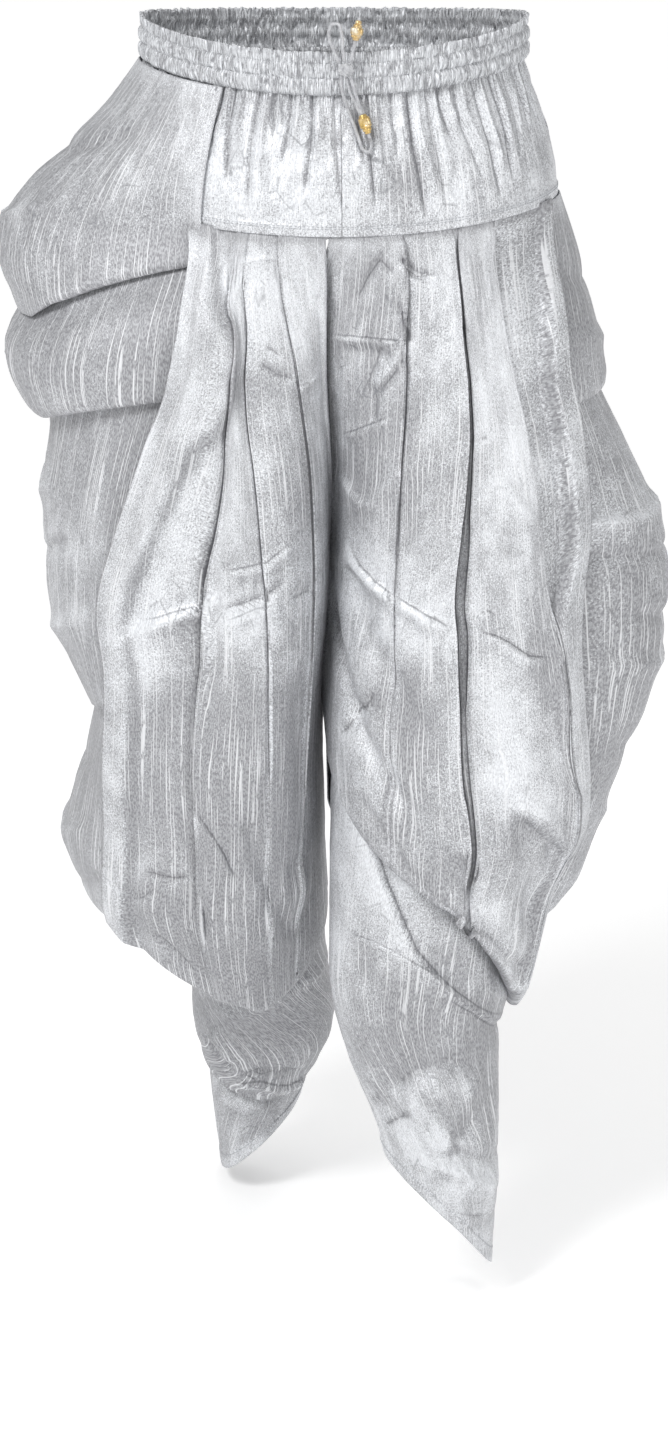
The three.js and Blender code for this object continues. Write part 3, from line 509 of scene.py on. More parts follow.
@dataclass
class ClothGrid:
    """A sheet of cloth as a grid of points, rows from top to bottom, with a value of each kind at each point.

    lie is the place of each point in the flat cloth, in millimetres across and down its grain. middle is a
    place inside the piece. light holds painted light and shade, crumple says how the silk shows its crinkles,
    and gather where it is gathered, which also brings painted light and painted shade in its puckers. near and
    dark hold the painted shadow lines along creases and pleat edges, and calm says how far drapes press in.
    sign is -1 where the grid's own turn faces inwards.
    """

    points: np.ndarray
    lie: np.ndarray
    middle: tuple[float, float]
    closed: bool = False
    light: np.ndarray = field(init=False)
    crumple: np.ndarray = field(init=False)
    near: np.ndarray = field(init=False)
    dark: np.ndarray = field(init=False)
    gather: np.ndarray = field(init=False)
    calm: np.ndarray = field(init=False)
    sign: float = field(init=False, default=1.0)

    def __post_init__(self) -> None:
        """Starts every point with no painted light or shade, no crumple and no painted shadow line, and finds
        which way is out.
        """
        shape = self.points.shape[:2]
        self.light, self.crumple, self.dark, self.gather = (np.zeros(shape) for _ in range(4))
        self.near, self.calm = np.full(shape, FAR), np.ones(shape)
        j = self.points.shape[1] // 2
        out = self.points[1, j, :2] - np.array(self.middle)
        if float(out @ self.normals()[1, j, :2]) < 0.0:
            self.sign = -1.0

    def normals(self) -> np.ndarray:
        """The way out at each point: the cross product of the grid's two directions there.

        Returns:
            A grid of ways, each of length 1.
        """
        p = self.points
        across = np.roll(p, -1, 1) - np.roll(p, 1, 1) if self.closed else np.gradient(p, axis=1)
        across = across + 1e-9
        found = np.cross(np.gradient(p, axis=0), across)
        return self.sign * found / (np.linalg.norm(found, axis=-1, keepdims=True) + 1e-9)

    def push(self, off: np.ndarray) -> None:
        """Moves each point outwards by off."""
        self.points = self.points + self.normals() * off[..., None]

    def draw(self, near: np.ndarray, dark: np.ndarray) -> None:
        """Keeps a painted shadow line where it is nearer than the ones already kept.

        Args:
            near: its distance from each point.
            dark: how dark the painted shadow is there.
        """
        better = (np.abs(near) < np.minimum(np.abs(self.near), 3.6)) & (dark > 0.03)
        self.near = np.where(better, near, self.near)
        self.dark = np.where(better, dark, self.dark)

    def dress(self, drape: Drape, u: np.ndarray, v: np.ndarray, where: Any = 1.0, seed: int = 3) -> None:
        """Presses a drape's creases into the cloth, and paints its light and shade into the kept light.

        Args:
            drape: what to press in.
            u, v: each point's place in the drape's coordinates.
            where: how strongly, from 0 to 1, at each point.
            seed: picks the crumples.
        """
        rise = np.zeros(u.shape)
        where = where * self.calm
        for crease in drape.creases:
            pressed, near, dark = crease.press(u, v)
            rise += 1.35 * pressed
            self.draw(near, dark * where)
        crumple = drape.crumple + sum((patch.at(u, v) for patch in drape.crumples), np.zeros(u.shape))
        crumple = np.clip(crumple, 0.0, 1.0)
        light = drape.light + sum((patch.at(u, v) for patch in drape.lights), np.zeros(u.shape))
        foil = crumpled(self.lie[..., 0], self.lie[..., 1], seed)
        # painted light and shade: cloth that the push turns towards the way set above is painted lighter and
        # cloth turned away darker, ridges are painted lighter and troughs darker, and the drape's own painted
        # light is added
        before = self.normals()
        self.push(where * (rise + 3.0 * crumple * foil))
        turned = np.sum((self.normals() - before) * PAINTED_LIGHT_WAY, axis=-1)
        raised, turned = np.clip(0.03 * rise, -0.2, 0.2), np.clip(0.55 * turned, -0.35, 0.35)
        self.light = self.light + where * (light + raised) + turned
        self.crumple = np.maximum(self.crumple, where * crumple)

    def at(self, row: Any, column: Any) -> tuple[np.ndarray, np.ndarray]:
        """The cloth at places between the grid's rows and columns, by bilinear mixing.

        Args:
            row, column: the places, counted in rows and columns.

        Returns:
            The points and the ways out.
        """
        rows, columns = self.points.shape[:2]
        i = np.clip(np.floor(row).astype(int), 0, rows - 2)
        fi = (row - i)[..., None]
        if self.closed:
            j = np.floor(column).astype(int) % columns
            k = (j + 1) % columns
            fj = (column - np.floor(column))[..., None]
        else:
            j = np.clip(np.floor(column).astype(int), 0, columns - 2)
            k = j + 1
            fj = (column - j)[..., None]
        points, outs = (
            mix(mix(g[i, j], g[i, k], fj), mix(g[i + 1, j], g[i + 1, k], fj), fi)
            for g in (self.points, self.normals())
        )
        return points, outs


def refined(rows: Sequence[np.ndarray], counts: Sequence[int]) -> np.ndarray:
    """Rows of points along Catmull-Rom curves through the given rows.

    Args:
        rows: the rows that the curves go through.
        counts: the number of steps from each to the next.

    Returns:
        The finer rows.
    """
    knots = np.array(rows, float)
    last = len(knots) - 1
    found = []
    for i, count in enumerate(counts):
        a, b, c, d = knots[max(i - 1, 0)], knots[i], knots[i + 1], knots[min(i + 2, last)]
        for step in range(count):
            t = step / count
            curve = 2 * b + (c - a) * t + (2 * a - 5 * b + 4 * c - d) * t**2 + (3 * b - a - 3 * c + d) * t**3
            found.append(curve / 2)
    found.append(knots[last])
    return np.array(found)


def lengths_along(points: np.ndarray, axis: int) -> np.ndarray:
    """The distance run along a grid's axis, from its first point to each point."""
    steps = np.linalg.norm(np.diff(points, axis=axis), axis=-1)
    start = np.zeros_like(np.take(steps, [0], axis=axis))
    return np.concatenate([start, np.cumsum(steps, axis=axis)], axis=axis)


def flat_lie(points: np.ndarray, straight: int) -> np.ndarray:
    """The place of each point of a sheet in its flat cloth.

    Args:
        points: the sheet, rows from top to bottom.
        straight: the row whose own steps set the places across, so that the grain runs straight down.

    Returns:
        The places across and down, in millimetres.
    """
    down = lengths_along(points, 0)
    across = np.broadcast_to(lengths_along(points, 1)[straight][None, :], down.shape)
    return np.stack([across, down], -1)


class MeshMaker:
    """Turns grids and loose parts into finished objects on the frame's one body."""

    def __init__(self, finishes: dict[str, bpy.types.Material]) -> None:
        """Keeps the finished materials by name, and starts the count of triangles."""
        self.finishes = finishes
        self.triangles = 0

    def put(
        self, name: str, points: np.ndarray, faces: list[tuple[int, ...]], finish: str,
        lie: np.ndarray | None = None, values: dict[str, np.ndarray] | None = None,
    ) -> bpy.types.Object:
        """Makes one smooth object, in metres, with its UV map and its point values.

        Args:
            name: the object's name.
            points: its points in millimetres.
            faces: its faces as point numbers, turning left as seen from outside.
            finish: the name of its material.
            lie: each point's place in the flat cloth, in millimetres.
            values: point values by name, which the material reads.

        Returns:
            The object.
        """
        mesh = bpy.data.meshes.new(name)
        mesh.from_pydata((points * METRES).tolist(), [], faces)
        mesh.polygons.foreach_set("use_smooth", np.ones(len(mesh.polygons), bool))
        if lie is not None:
            corner = np.zeros(len(mesh.loops), np.int32)
            mesh.loops.foreach_get("vertex_index", corner)
            layer = mesh.uv_layers.new(name="grain")
            layer.data.foreach_set("uv", (lie[corner] * METRES).astype(np.float32).ravel())
        for key, value in (values or {}).items():
            mesh.attributes.new(key, "FLOAT", "POINT").data.foreach_set("value", value.astype(np.float32))
        mesh.update()
        mesh.materials.append(self.finishes[finish])
        piece = bpy.data.objects.new(name, mesh)
        bpy.context.scene.collection.objects.link(piece)
        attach(piece, "root")
        count = sum(len(face) - 2 for face in faces)
        self.triangles += count
        LOG.info("%s: %d triangles", name, count)
        return piece

    def cloth(self, name: str, grid: ClothGrid, thickness: float = CLOTH) -> bpy.types.Object:
        """A closed wall of cloth: the grid outside, and inside it every second row and column, set in.

        Args:
            name: the object's name.
            grid: the outer sheet, whose rows are odd in number, and its columns odd, or even if closed.
            thickness: how far in the inner sheet lies.

        Returns:
            The object.
        """
        outer, closed = grid.points, grid.closed
        inner = (outer - grid.normals() * thickness)[::2, ::2]
        rows, columns = outer.shape[:2]
        in_rows, in_columns = inner.shape[:2]
        out_id = np.arange(rows * columns).reshape(rows, columns)
        in_id = rows * columns + np.arange(in_rows * in_columns).reshape(in_rows, in_columns)
        faces: list[tuple[int, ...]] = []

        def quads(ids: np.ndarray, turned: bool) -> None:
            """Fills a sheet with faces.

            Args:
                ids: its point numbers.
                turned: whether its faces are turned over, as the inner one's are.
            """
            right = np.roll(ids, -1, 1) if closed else ids[:, 1:]
            left = ids if closed else ids[:, :-1]
            corners = [left[:-1], left[1:], right[1:], right[:-1]]
            if turned:
                corners.reverse()
            faces.extend(zip(*(corner.ravel().tolist() for corner in corners)))

        def edge(out_line: np.ndarray, in_line: np.ndarray) -> None:
            """Joins an edge of the outer sheet to the inner one's, three faces to each of its steps."""
            a, b, c = out_line[0:-1:2], out_line[1::2], out_line[2::2]
            i, k = in_line[:-1], in_line[1:]
            for three in ((a, b, i), (b, k, i), (b, c, k)):
                faces.extend(zip(*(line.tolist() for line in three)))

        quads(out_id, False)
        quads(in_id, True)
        out_wrap = np.concatenate([out_id, out_id[:, :1]], 1) if closed else out_id
        in_wrap = np.concatenate([in_id, in_id[:, :1]], 1) if closed else in_id
        edge(out_wrap[0], in_wrap[0])
        edge(out_wrap[-1][::-1], in_wrap[-1][::-1])
        if not closed:
            edge(out_id[::-1, 0], in_id[::-1, 0])
            edge(out_id[:, -1], in_id[:, -1])
        if grid.sign < 0:
            faces = [face[::-1] for face in faces]

        def both(value: np.ndarray) -> np.ndarray:
            """A value of the outer sheet's points, then the same for the inner one's."""
            inside = value[::2, ::2].reshape(in_rows * in_columns, -1)
            return np.concatenate([value.reshape(rows * columns, -1), inside])

        falls = np.cross(outer[1:, 1:] - outer[:-1, :-1], outer[1:, :-1] - outer[:-1, 1:])
        LOG.info("%s: %.4f square metres of cloth", name, float(np.linalg.norm(falls, axis=-1).sum()) / 2e6)
        points = np.concatenate([outer.reshape(-1, 3), inner.reshape(-1, 3)])
        kept = {key: getattr(grid, key) for key in ("light", "crumple", "near", "dark", "gather")}
        values = {key: both(value).ravel() for key, value in kept.items()}
        return self.put(name, points, faces, "cloth", both(grid.lie), values)

    def stitches(
        self, name: str, centres: np.ndarray, ways: np.ndarray, outs: np.ndarray,
        length: float = 2.2, width: float = 0.55,
    ) -> bpy.types.Object:
        """A row of thread stitches: each a long six-sided bead that dips into the cloth at both ends.

        Args:
            name: the object's name.
            centres: the middle of each stitch.
            ways: the way each runs.
            outs: the way out of the cloth at each.
            length, width: a stitch's size.

        Returns:
            The object.
        """
        ways = ways / np.linalg.norm(ways, axis=1, keepdims=True)
        sides = np.cross(ways, outs)
        sides = sides / np.linalg.norm(sides, axis=1, keepdims=True)
        outs = np.cross(sides, ways)
        rings = ((-0.5, 0.3, -0.25), (-0.2, 1.0, 0.1), (0.2, 1.0, 0.1), (0.5, 0.3, -0.25))
        local = np.array([
            (along * length, 0.5 * width * size * math.cos(t), width * (0.45 * size * math.sin(t) + lift))
            for along, size, lift in rings
            for t in np.arange(6) * math.pi / 3
        ])
        points = centres[:, None] + local[None, :, :1] * ways[:, None]
        points = points + local[None, :, 1:2] * sides[:, None] + local[None, :, 2:] * outs[:, None]
        one = ring_faces(4, 6)
        faces = [tuple(i + 24 * n for i in face) for n in range(len(centres)) for face in one]
        return self.put(name, points.reshape(-1, 3), faces, "thread")

    def stitch_round(
        self, name: str, grid: ClothGrid, row: float, count: int, lift: float, *size: float
    ) -> bpy.types.Object:
        """A row of stitches all round a closed sheet.

        Args:
            name: the object's name.
            grid: the sheet.
            row: the place down it, counted in rows.
            count: the number of stitches.
            lift: how far their middles stand off the cloth.
            size: a stitch's length and width, where they aren't the usual ones.

        Returns:
            The object.
        """
        column = np.arange(count) * grid.points.shape[1] / count
        centres, outs = grid.at(np.full(count, row), column)
        ways = np.roll(centres, -1, 0) - np.roll(centres, 1, 0)
        return self.stitches(name, centres + lift * outs, ways, outs, *size)


PANEL_LIP = 3.2  # how far a pleat's edge laps over the cloth below it
PANEL_BREADTH = 330.0  # a leg panel's breadth, where a place across it is a share
EDGES: dict[tuple[Side, Facing], Profile] = {
    (Side.LEFT, Facing.FRONT): front_places(
        Side.LEFT, (166, 168, 172, 182, 190, 184, 184, 190, 172, 144)
    ),
    (Side.RIGHT, Facing.FRONT): front_places(
        Side.RIGHT, (110, 113, 121, 138, 160, 174, 170, 173, 175, 168)
    ),
    (Side.LEFT, Facing.BACK): Profile((-120, -400, -560, -800), (0.36, 0.34, 0.16, 0.12)),
    (Side.RIGHT, Facing.BACK): Profile((-120, -400, -560, -800), (0.4, 0.4, 0.34, 0.3)),
}
COWL_LAP = 16.0  # how far a cowl begins above the foot of the one over it
COWL_UNDER = 7.5  # how far in it begins there
COWL_OVERLAP = 0.05  # how far a side panel goes in under the leg panels, as a place round the leg
COWL_HOLD = 0.97  # share of the leg panels' edge at which a cowl starts to swell
COWL_TURN = 3.0  # height of the fold at a cowl's foot


@dataclass(frozen=True)
class Pleat:
    """A knife pleat, whose line is xs at LEVELS, or shares of the panel's breadth.

    step is the height of its edge at the top, half way down and at the bottom: above 0 it lies over the cloth
    outside it, below 0 over the cloth inside it.
    """

    step: tuple[float, float, float]
    xs: tuple[float, ...] = ()
    shares: tuple[float, ...] = ()


@dataclass(frozen=True)
class LegPanel:
    """A pleated leg panel, from the yoke to a soft fold that turns in under its foot.

    The foot's level is foot_centre at the middle of the garment and foot_side at the side, and it sags between
    them by 1 - |2 across - 1|^point. folds are rows of two ends, as shares, with a width and a depth.
    """

    name: str
    side: Side
    facing: Facing
    pleats: tuple[Pleat, ...]
    folds: tuple[tuple[float, float, float, float, float, float], ...]
    foot_centre: float
    foot_side: float
    sag: float
    rows: int
    per_pleat: int
    cut: tuple[float, float]
    cut_area: float
    drape: Drape
    point: float = 1.5

    def place(self, across: np.ndarray, down: np.ndarray) -> tuple[np.ndarray, np.ndarray]:
        """Where the panel's cloth lies on the leg.

        Args:
            across, down: places on the panel, as shares.

        Returns:
            The places round the leg, and the heights.
        """
        sag = self.sag * (1 - np.abs(2 * across - 1) ** self.point)
        foot = mix(self.foot_centre, self.foot_side, across) - sag
        edge = EDGES[self.side, self.facing].at(mix(FRONT_SEAM_LEVEL, foot, down))
        a = self.facing.value * mix(0.996, edge, across)
        return a, mix(hip_level(math.pi / 2 * a) + 2.4, foot, down)

    def pleat_lines(self, down: np.ndarray) -> np.ndarray:
        """The pleats' lines, found in a few steps because a row isn't level.

        Args:
            down: the share of the way down at each row.

        Returns:
            Each pleat's share of the way across at each row.
        """
        edge_line = EDGES[self.side, self.facing]
        lines = []
        for pleat in self.pleats:
            if pleat.shares:
                across = np.interp(down, (0.0, 0.5, 1.0), pleat.shares)
            else:
                line = front_places(self.side, pleat.xs)
                across = np.full(len(down), 0.5)
                for _ in range(6):
                    _, z = self.place(across, down)
                    across = np.clip((1 - line.at(z)) / (1 - edge_line.at(z)), 0.03, 0.93)
            if lines:
                across = np.maximum(across, lines[-1] + 0.03)
            lines.append(across)
        return np.array(lines)

    def columns(self, down: np.ndarray) -> tuple[np.ndarray, ...]:
        """The grid's columns. Between two pleats the lift runs evenly from one to the next.

        At a pleat the cloth goes past its edge, turns back under it and goes on, as an S.

        Args:
            down: the share of the way down at each row.

        Returns:
            For each row and column: the share of the way across, the pleats' lift, whether it is hidden in a
            pleat, the distance from the nearest edge over it, and how dark the painted shadow along that edge
            is.
        """
        lines = self.pleat_lines(down)
        steps = np.array([np.interp(down, (0.0, 0.5, 1.0), pleat.step) for pleat in self.pleats])
        steps = steps * (0.25 + 0.55 * smooth(0.0, 0.03, down) + 0.2 * smooth(0.03, 0.14, down))
        starts, lows = np.zeros_like(down), np.zeros_like(down)
        places, lifts, hidden, nears, edge_shadows = [], [], [], [], []
        over, over_shadow = np.full_like(down, -1.0), np.zeros_like(down)

        def edge_lines(place: np.ndarray, ahead: np.ndarray, ahead_dark: np.ndarray) -> None:
            """Notes how near a run of columns is to the last edge over it or the next, and how dark the
            painted shadow along that edge is.

            Args:
                place: the columns' share of the way across.
                ahead, ahead_dark: the next edge's place at each row, and how dark its painted shadow is.
            """
            from_last = (place - over[:, None]) * PANEL_BREADTH
            to_next = (ahead[:, None] - place) * PANEL_BREADTH
            use_next = (to_next < from_last) & (ahead_dark[:, None] > 0.0) | (over_shadow[:, None] == 0.0)
            nears.append(np.where(use_next, to_next, from_last))
            edge_shadows.append(np.where(use_next, ahead_dark[:, None], over_shadow[:, None]) * (nears[-1] < 3.6))

        for line, step in zip(lines, steps):
            lap = PANEL_LIP / PANEL_BREADTH * smooth(0.8, 4.0, np.abs(step))
            strong = smooth(0.8, 3.0, np.abs(step))
            high = np.maximum(0.0, step)
            t = np.linspace(0.0, 1.0, self.per_pleat + 1)[None, :]
            t = 1 - (1 - t) ** 1.5
            places.append(mix(starts[:, None], (line + lap)[:, None], t))
            lifts.append(mix(lows[:, None], high[:, None], t))
            hidden.append(np.zeros_like(lifts[-1]))
            edge_lines(places[-1], line - lap, strong * (step < 0.0))
            over, over_shadow = line + lap, strong * (step > 0.0)
            starts, lows = line - lap, np.maximum(0.0, -step)
            for share in (0.35, 0.7):
                places.append(mix((line + lap)[:, None], starts[:, None], share))
                lifts.append(mix(high[:, None], lows[:, None], share))
                hidden.append(np.ones((len(down), 1)))
                nears.append(np.full((len(down), 1), 0.0))
                edge_shadows.append(np.ones((len(down), 1)) * strong[:, None])
        count = self.per_pleat + 10
        count += (sum(p.shape[1] for p in places) + count + 1) % 2 == 0
        t = np.linspace(0.0, 1.0, count)[None, :]
        places.append(mix(starts[:, None], 1.0, t))
        lifts.append(mix(lows[:, None], 0.0, t))
        hidden.append(np.zeros_like(lifts[-1]))
        edge_lines(places[-1], np.full_like(down, 9.0), np.zeros_like(down))
        return tuple(np.concatenate(parts, 1) for parts in (places, lifts, hidden, nears, edge_shadows))

    def fold_drop(self, across: np.ndarray, down: np.ndarray) -> np.ndarray:
        """How far the panel's broad soft folds lower it, each depth * exp(-(distance / width)^2).

        Args:
            across, down: places on the panel, as shares.

        Returns:
            The drop at each place.
        """
        length = FRONT_SEAM_LEVEL - (self.foot_centre + self.foot_side) / 2 + self.sag
        drop = np.zeros(across.shape)
        for u0, v0, u1, v1, width, depth in self.folds:
            start = np.array((u0 * PANEL_BREADTH, v0 * length))
            way = np.array((u1 * PANEL_BREADTH, v1 * length)) - start
            du, dv = across * PANEL_BREADTH - start[0], down * length - start[1]
            t = np.clip((du * way[0] + dv * way[1]) / (way @ way), 0.0, 1.0)
            drop += depth * np.exp(-((du - t * way[0]) ** 2 + (dv - t * way[1]) ** 2) / width**2)
        return drop

    def grid(self) -> ClothGrid:
        """The panel's sheet: the leg's form with pleats, folds, a free side edge and a turned-in foot.

        Returns:
            The sheet, with painted shade in its pleats' hidden folds, along its free side edge, under the yoke
            seam and at its foot, and painted shadow lines along its pleats' edges.
        """
        down = np.linspace(0.0, 1.0, self.rows)
        across, lift, hidden, near, dark = self.columns(down)
        rows = np.broadcast_to(down[:, None], across.shape)
        a, z = self.place(across, rows)
        to_edge = np.abs(a) - EDGES[self.side, self.facing].at(z)
        reach, ramp = COWL_OVERLAP + 0.015, 0.045
        held = smooth(reach, reach + ramp, to_edge)
        off = np.maximum((lift - self.fold_drop(across, rows)) * smooth(0.0, 0.1, across) * held, -14.0)
        under_yoke = -1.6 * smooth(0.012, 0.0, rows)
        flare = FLARE * mix(0.35, 1.0, smooth(0.0, 0.12, rows))
        points = thigh_point(self.side, a, z, off + flare * (1 - held) + under_yoke)
        if self.facing is Facing.FRONT:
            points = self.centred(points, across, z)
        below = turned_in(self.side, points[-1])
        points = np.concatenate([points[:-1], refined([points[-2], points[-1], *below], (2, 4, 4, 4))[2:]])
        if len(points) % 2 == 0:
            points = points[1:]
        grid = ClothGrid(points, flat_lie(points, int(0.6 * len(points))), (self.side.value * 100.0, 0.0))
        # painted shade in the pleats' hidden folds, and painted shadow lines along their edges that fade out
        # at the foot
        grid.light[: len(hidden)] = -0.9 * hidden[: len(grid.light)] * smooth(0.95, 0.6, down)[:, None]
        grid.near[: len(near)] = near
        grid.dark[: len(near)] = dark * smooth(0.99, 0.9, down)[:, None]
        folded = hidden > 0.0
        for _ in range(3):
            folded = folded | np.roll(folded, 1, 1) | np.roll(folded, -1, 1)
        grid.calm[: len(hidden)] = np.where(folded, 0.25, 1.0) * mix(0.12, 1.0, held)
        # painted shade where the free side edge lifts off the leg
        grid.light[: len(hidden)] -= 0.3 * smooth(0.0, 0.5, held) * smooth(1.0, 0.5, held)
        # painted shade in the top rows, under the yoke seam, and in the last rows, which turn in under the
        # foot
        grid.light -= 0.5 * smooth(5.0, 0.0, np.arange(len(grid.light)))[:, None]
        grid.light -= 0.5 * smooth(-11.0, -5.0, np.arange(len(grid.light)) - len(grid.light))[:, None]
        return grid

    def centred(self, points: np.ndarray, across: np.ndarray, z: np.ndarray) -> np.ndarray:
        """Rolls the right panel's centre edge forward over the left panel's, which goes in behind it.

        Args:
            points: the panel's points.
            across: the share of the way across the panel at each.
            z: the height of each.

        Returns:
            The moved points.
        """
        near = smooth(0.06, 0.0, across) * smooth(-700.0, -600.0, z) * smooth(FRONT_SEAM_LEVEL, -170.0, z)
        moved = points.copy()
        if self.side is Side.RIGHT:
            moved[..., 0] += 1.5 * near
            moved[..., 1] -= 3.5 * smooth(0.07, 0.025, across) * near * smooth(0.0, 0.02, across)
        else:
            moved[..., 0] -= 9.0 * near * smooth(-560.0, -460.0, z)
            moved[..., 1] += 11.0 * near
        return moved

    def build(self, maker: MeshMaker) -> None:
        """Makes the panel and presses its drape in.

        Args:
            maker: makes the meshes.
        """
        grid = self.grid()
        calm = smooth(0.0, 12.0, np.arange(grid.points.shape[0])[:, None])
        u, v = grid.points[..., 0], grid.points[..., 2]
        grid.dress(self.drape, u, v, calm, seed=11 + 7 * self.side.value + 3 * self.facing.value)
        piece = maker.cloth(self.name, grid)
        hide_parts(self.name)


def turned_in(side: Side, foot: np.ndarray) -> list[np.ndarray]:
    """The rows that turn a panel's foot in under it, until it lies on the lower leg or on the calf wrap.

    Args:
        side: which leg.
        foot: the panel's last row.

    Returns:
        The three rows.
    """
    off = LAYER if side is Side.LEFT else LAYER * 2.6 + SOLID_WALL
    rows = []
    for share, dip in ((0.3, 7.0), (0.7, 6.0), (1.0, -2.0)):
        seat = shin_point(side, shin_turn_of(side, foot), foot[..., 2], off)
        row = mix(foot, seat, share)
        row[..., 2] = foot[..., 2] - dip
        rows.append(row)
    return rows


@dataclass(frozen=True)
class Cowl:
    """One cowl of a side panel.

    foot is its foot's level at four places from front to back, swing how far back its outermost line lies,
    rows how many rows it is drawn from, and reach how far out it stands at some levels.
    """

    foot: tuple[float, float, float, float]
    swing: float
    rows: int
    reach: tuple[tuple[float, float], ...]

    def foot_at(self, p: np.ndarray) -> np.ndarray:
        """The level of the foot at places p from -1 in front to 1 behind."""
        return np.interp((p + 1) / 2, (0.0, 1 / 3, 2 / 3, 1.0), self.foot)

    def out_at(self, z: np.ndarray) -> np.ndarray:
        """How far out from the middle the cowl stands at height z."""
        levels, xs = zip(*self.reach)
        return Profile(levels, xs).at(z)


@dataclass(frozen=True)
class SidePanel:
    """A side panel that falls in cowls, in one cloth that folds back up behind each and down as the next."""

    name: str
    side: Side
    from_band: bool
    cowls: tuple[Cowl, ...]
    columns: int
    cut: tuple[float, float]
    cut_area: float
    rests_on: str
    drape: Drape

    def top(self, k: int, p: np.ndarray) -> np.ndarray:
        """The level where cowl k begins.

        Args:
            k: the cowl's number, from the top.
            p: places from -1 in front to 1 behind.

        Returns:
            The level at each place.
        """
        if k > 0:
            return self.cowls[k - 1].foot_at(p) + COWL_LAP
        front, back = (EDGES[self.side, facing].at(-117.0) for facing in (Facing.FRONT, Facing.BACK))
        angle = math.pi / 2 * p * (np.where(p < 0, front, back) + COWL_OVERLAP)
        return (waist_top(angle) - BAND_HEIGHT if self.from_band else hip_level(angle)) - SEAM

    def surface(self, k: int, p: np.ndarray, z: np.ndarray) -> np.ndarray:
        """A cowl's cloth: the leg's form, swollen by the cosine of the place between its two edges.

        Args:
            k: the cowl's number, from the top.
            p: places from -1 in front to 1 behind.
            z: the heights.

        Returns:
            The points.
        """
        cowl = self.cowls[k]
        edge = np.where(p < 0, EDGES[self.side, Facing.FRONT].at(z), EDGES[self.side, Facing.BACK].at(z))
        a = p * (edge + COWL_OVERLAP)
        tucked, seated, over_yoke = 0.0, 0.0, 0.0
        if k > 0:
            tucked = COWL_UNDER * (1 - smooth(0.0, 2 * COWL_LAP, self.cowls[k - 1].foot_at(p) - z))
        else:
            seated = (-0.3 if self.from_band else -1.0) * (1 - smooth(0.0, 14.0, self.top(0, p) - z))
            flat_edge = 1 - 0.85 * smooth(0.86, 1.0, np.abs(p))
            over_yoke = 2.5 * flat_edge * smooth(0.0, 16.0, z - hip_level(a) + 6.0) if self.from_band else 0.0
        off = TUCK - tucked + seated + over_yoke
        hold = COWL_HOLD * edge / (edge + COWL_OVERLAP)
        swell = np.maximum(np.cos(np.clip(np.abs(p) / hold, 0.0, 1.0) * math.pi / 2), 0.0) ** 0.75
        stand = np.maximum(cowl.out_at(z) - np.abs(thigh_point(self.side, 0.0, z, off)[..., 0]), 0.0)
        settled = smooth(0.0, 40.0, self.top(k, p) - z)
        base = thigh_point(self.side, a, z, off)
        return base + stacked(self.side.value * stand * swell, cowl.swing * swell**2 * settled, 0.0)

    def grid(self) -> ClothGrid:
        """The sheet: rows down each cowl, round its foot and up behind it, with smooth curves through them.

        Returns:
            The sheet.
        """
        p = np.linspace(-1.0, 1.0, self.columns)
        rows: list[np.ndarray] = []
        counts: list[int] = []
        for k, cowl in enumerate(self.cowls):
            foot = cowl.foot_at(p)
            start = self.top(k, p) + 1.3 if k == 0 else self.cowls[k - 1].foot_at(p) - COWL_TURN
            if k > 0:
                rows.append(self.surface(k, p, self.top(k, p) - COWL_TURN))
                rows.append(self.surface(k, p, start))
                counts += [4, 4]
            height = float(np.mean(start - foot))
            steps = max(2, round(height / cowl.rows / 2.9))
            for i in range(0 if k == 0 else 1, cowl.rows + 1):
                rows.append(self.surface(k, p, mix(start, foot + 0.3 * COWL_TURN, i / cowl.rows)))
                counts.append(steps)
            if k == len(self.cowls) - 1:
                continue
            counts[-1] = 3
            behind_foot = self.behind(k, p, foot)
            turn = mix(self.surface(k, p, foot), behind_foot, 0.5)
            turn[..., 2] = foot - COWL_TURN
            high = foot + COWL_LAP - COWL_TURN
            crown = mix(self.surface(k + 1, p, high), self.surface(k, p, high), 0.135)
            crown[..., 2] = foot + COWL_LAP
            rows += [turn, self.behind(k, p, foot + 1.0), self.behind(k, p, high), crown]
            counts += [3, 4, 3, 3]
        rows[0][..., :2] *= 0.985
        below = turned_in(self.side, rows[-1])[:2]
        counts[-1] = 3
        points = refined([*rows, *below], [*counts, 3])
        if len(points) % 2 == 0:
            points = points[1:]
        return ClothGrid(points, flat_lie(points, len(points) // 3), (self.side.value * 80.0, 20.0))

    def behind(self, k: int, p: np.ndarray, z: np.ndarray) -> np.ndarray:
        """The layer that runs back up behind cowl k, between it and the next."""
        return mix(self.surface(k + 1, p, z), self.surface(k, p, z), 0.27)

    def build(self, maker: MeshMaker) -> None:
        """Makes the panel, paints shade near its front and back edges low down and where each cowl laps over
        the next, and presses in its drape, by height and by distance from front to back.

        Args:
            maker: makes the meshes.
        """
        grid = self.grid()
        u, v = grid.points[..., 1], grid.points[..., 2]
        rows, columns = grid.points.shape[:2]
        edge = smooth(0.0, 0.16, np.minimum(np.linspace(0, 1, columns), np.linspace(1, 0, columns)))[None, :]
        lapped = np.zeros((rows, columns))
        for cowl in self.cowls[:-1]:
            foot = np.interp(np.linspace(0, 1, columns), (0.0, 1 / 3, 2 / 3, 1.0), cowl.foot)[None, :]
            lapped = np.maximum(lapped, np.exp(-(((v - foot - 6.0) / 13.0) ** 2)))
        calm = edge * (1 - 0.85 * lapped) * smooth(0.0, 8.0, np.arange(rows)[:, None])
        # painted shade near the edges below the hip, where they go in under the leg panels, and where each
        # cowl laps over the next
        grid.light -= 0.6 * (1 - smooth(0.3, 1.0, edge)) * smooth(-120.0, -150.0, v) + 0.25 * lapped
        grid.dress(self.drape, u, v, calm, seed=31 + self.side.value)
        piece = maker.cloth(self.name, grid)
        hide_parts(self.name)


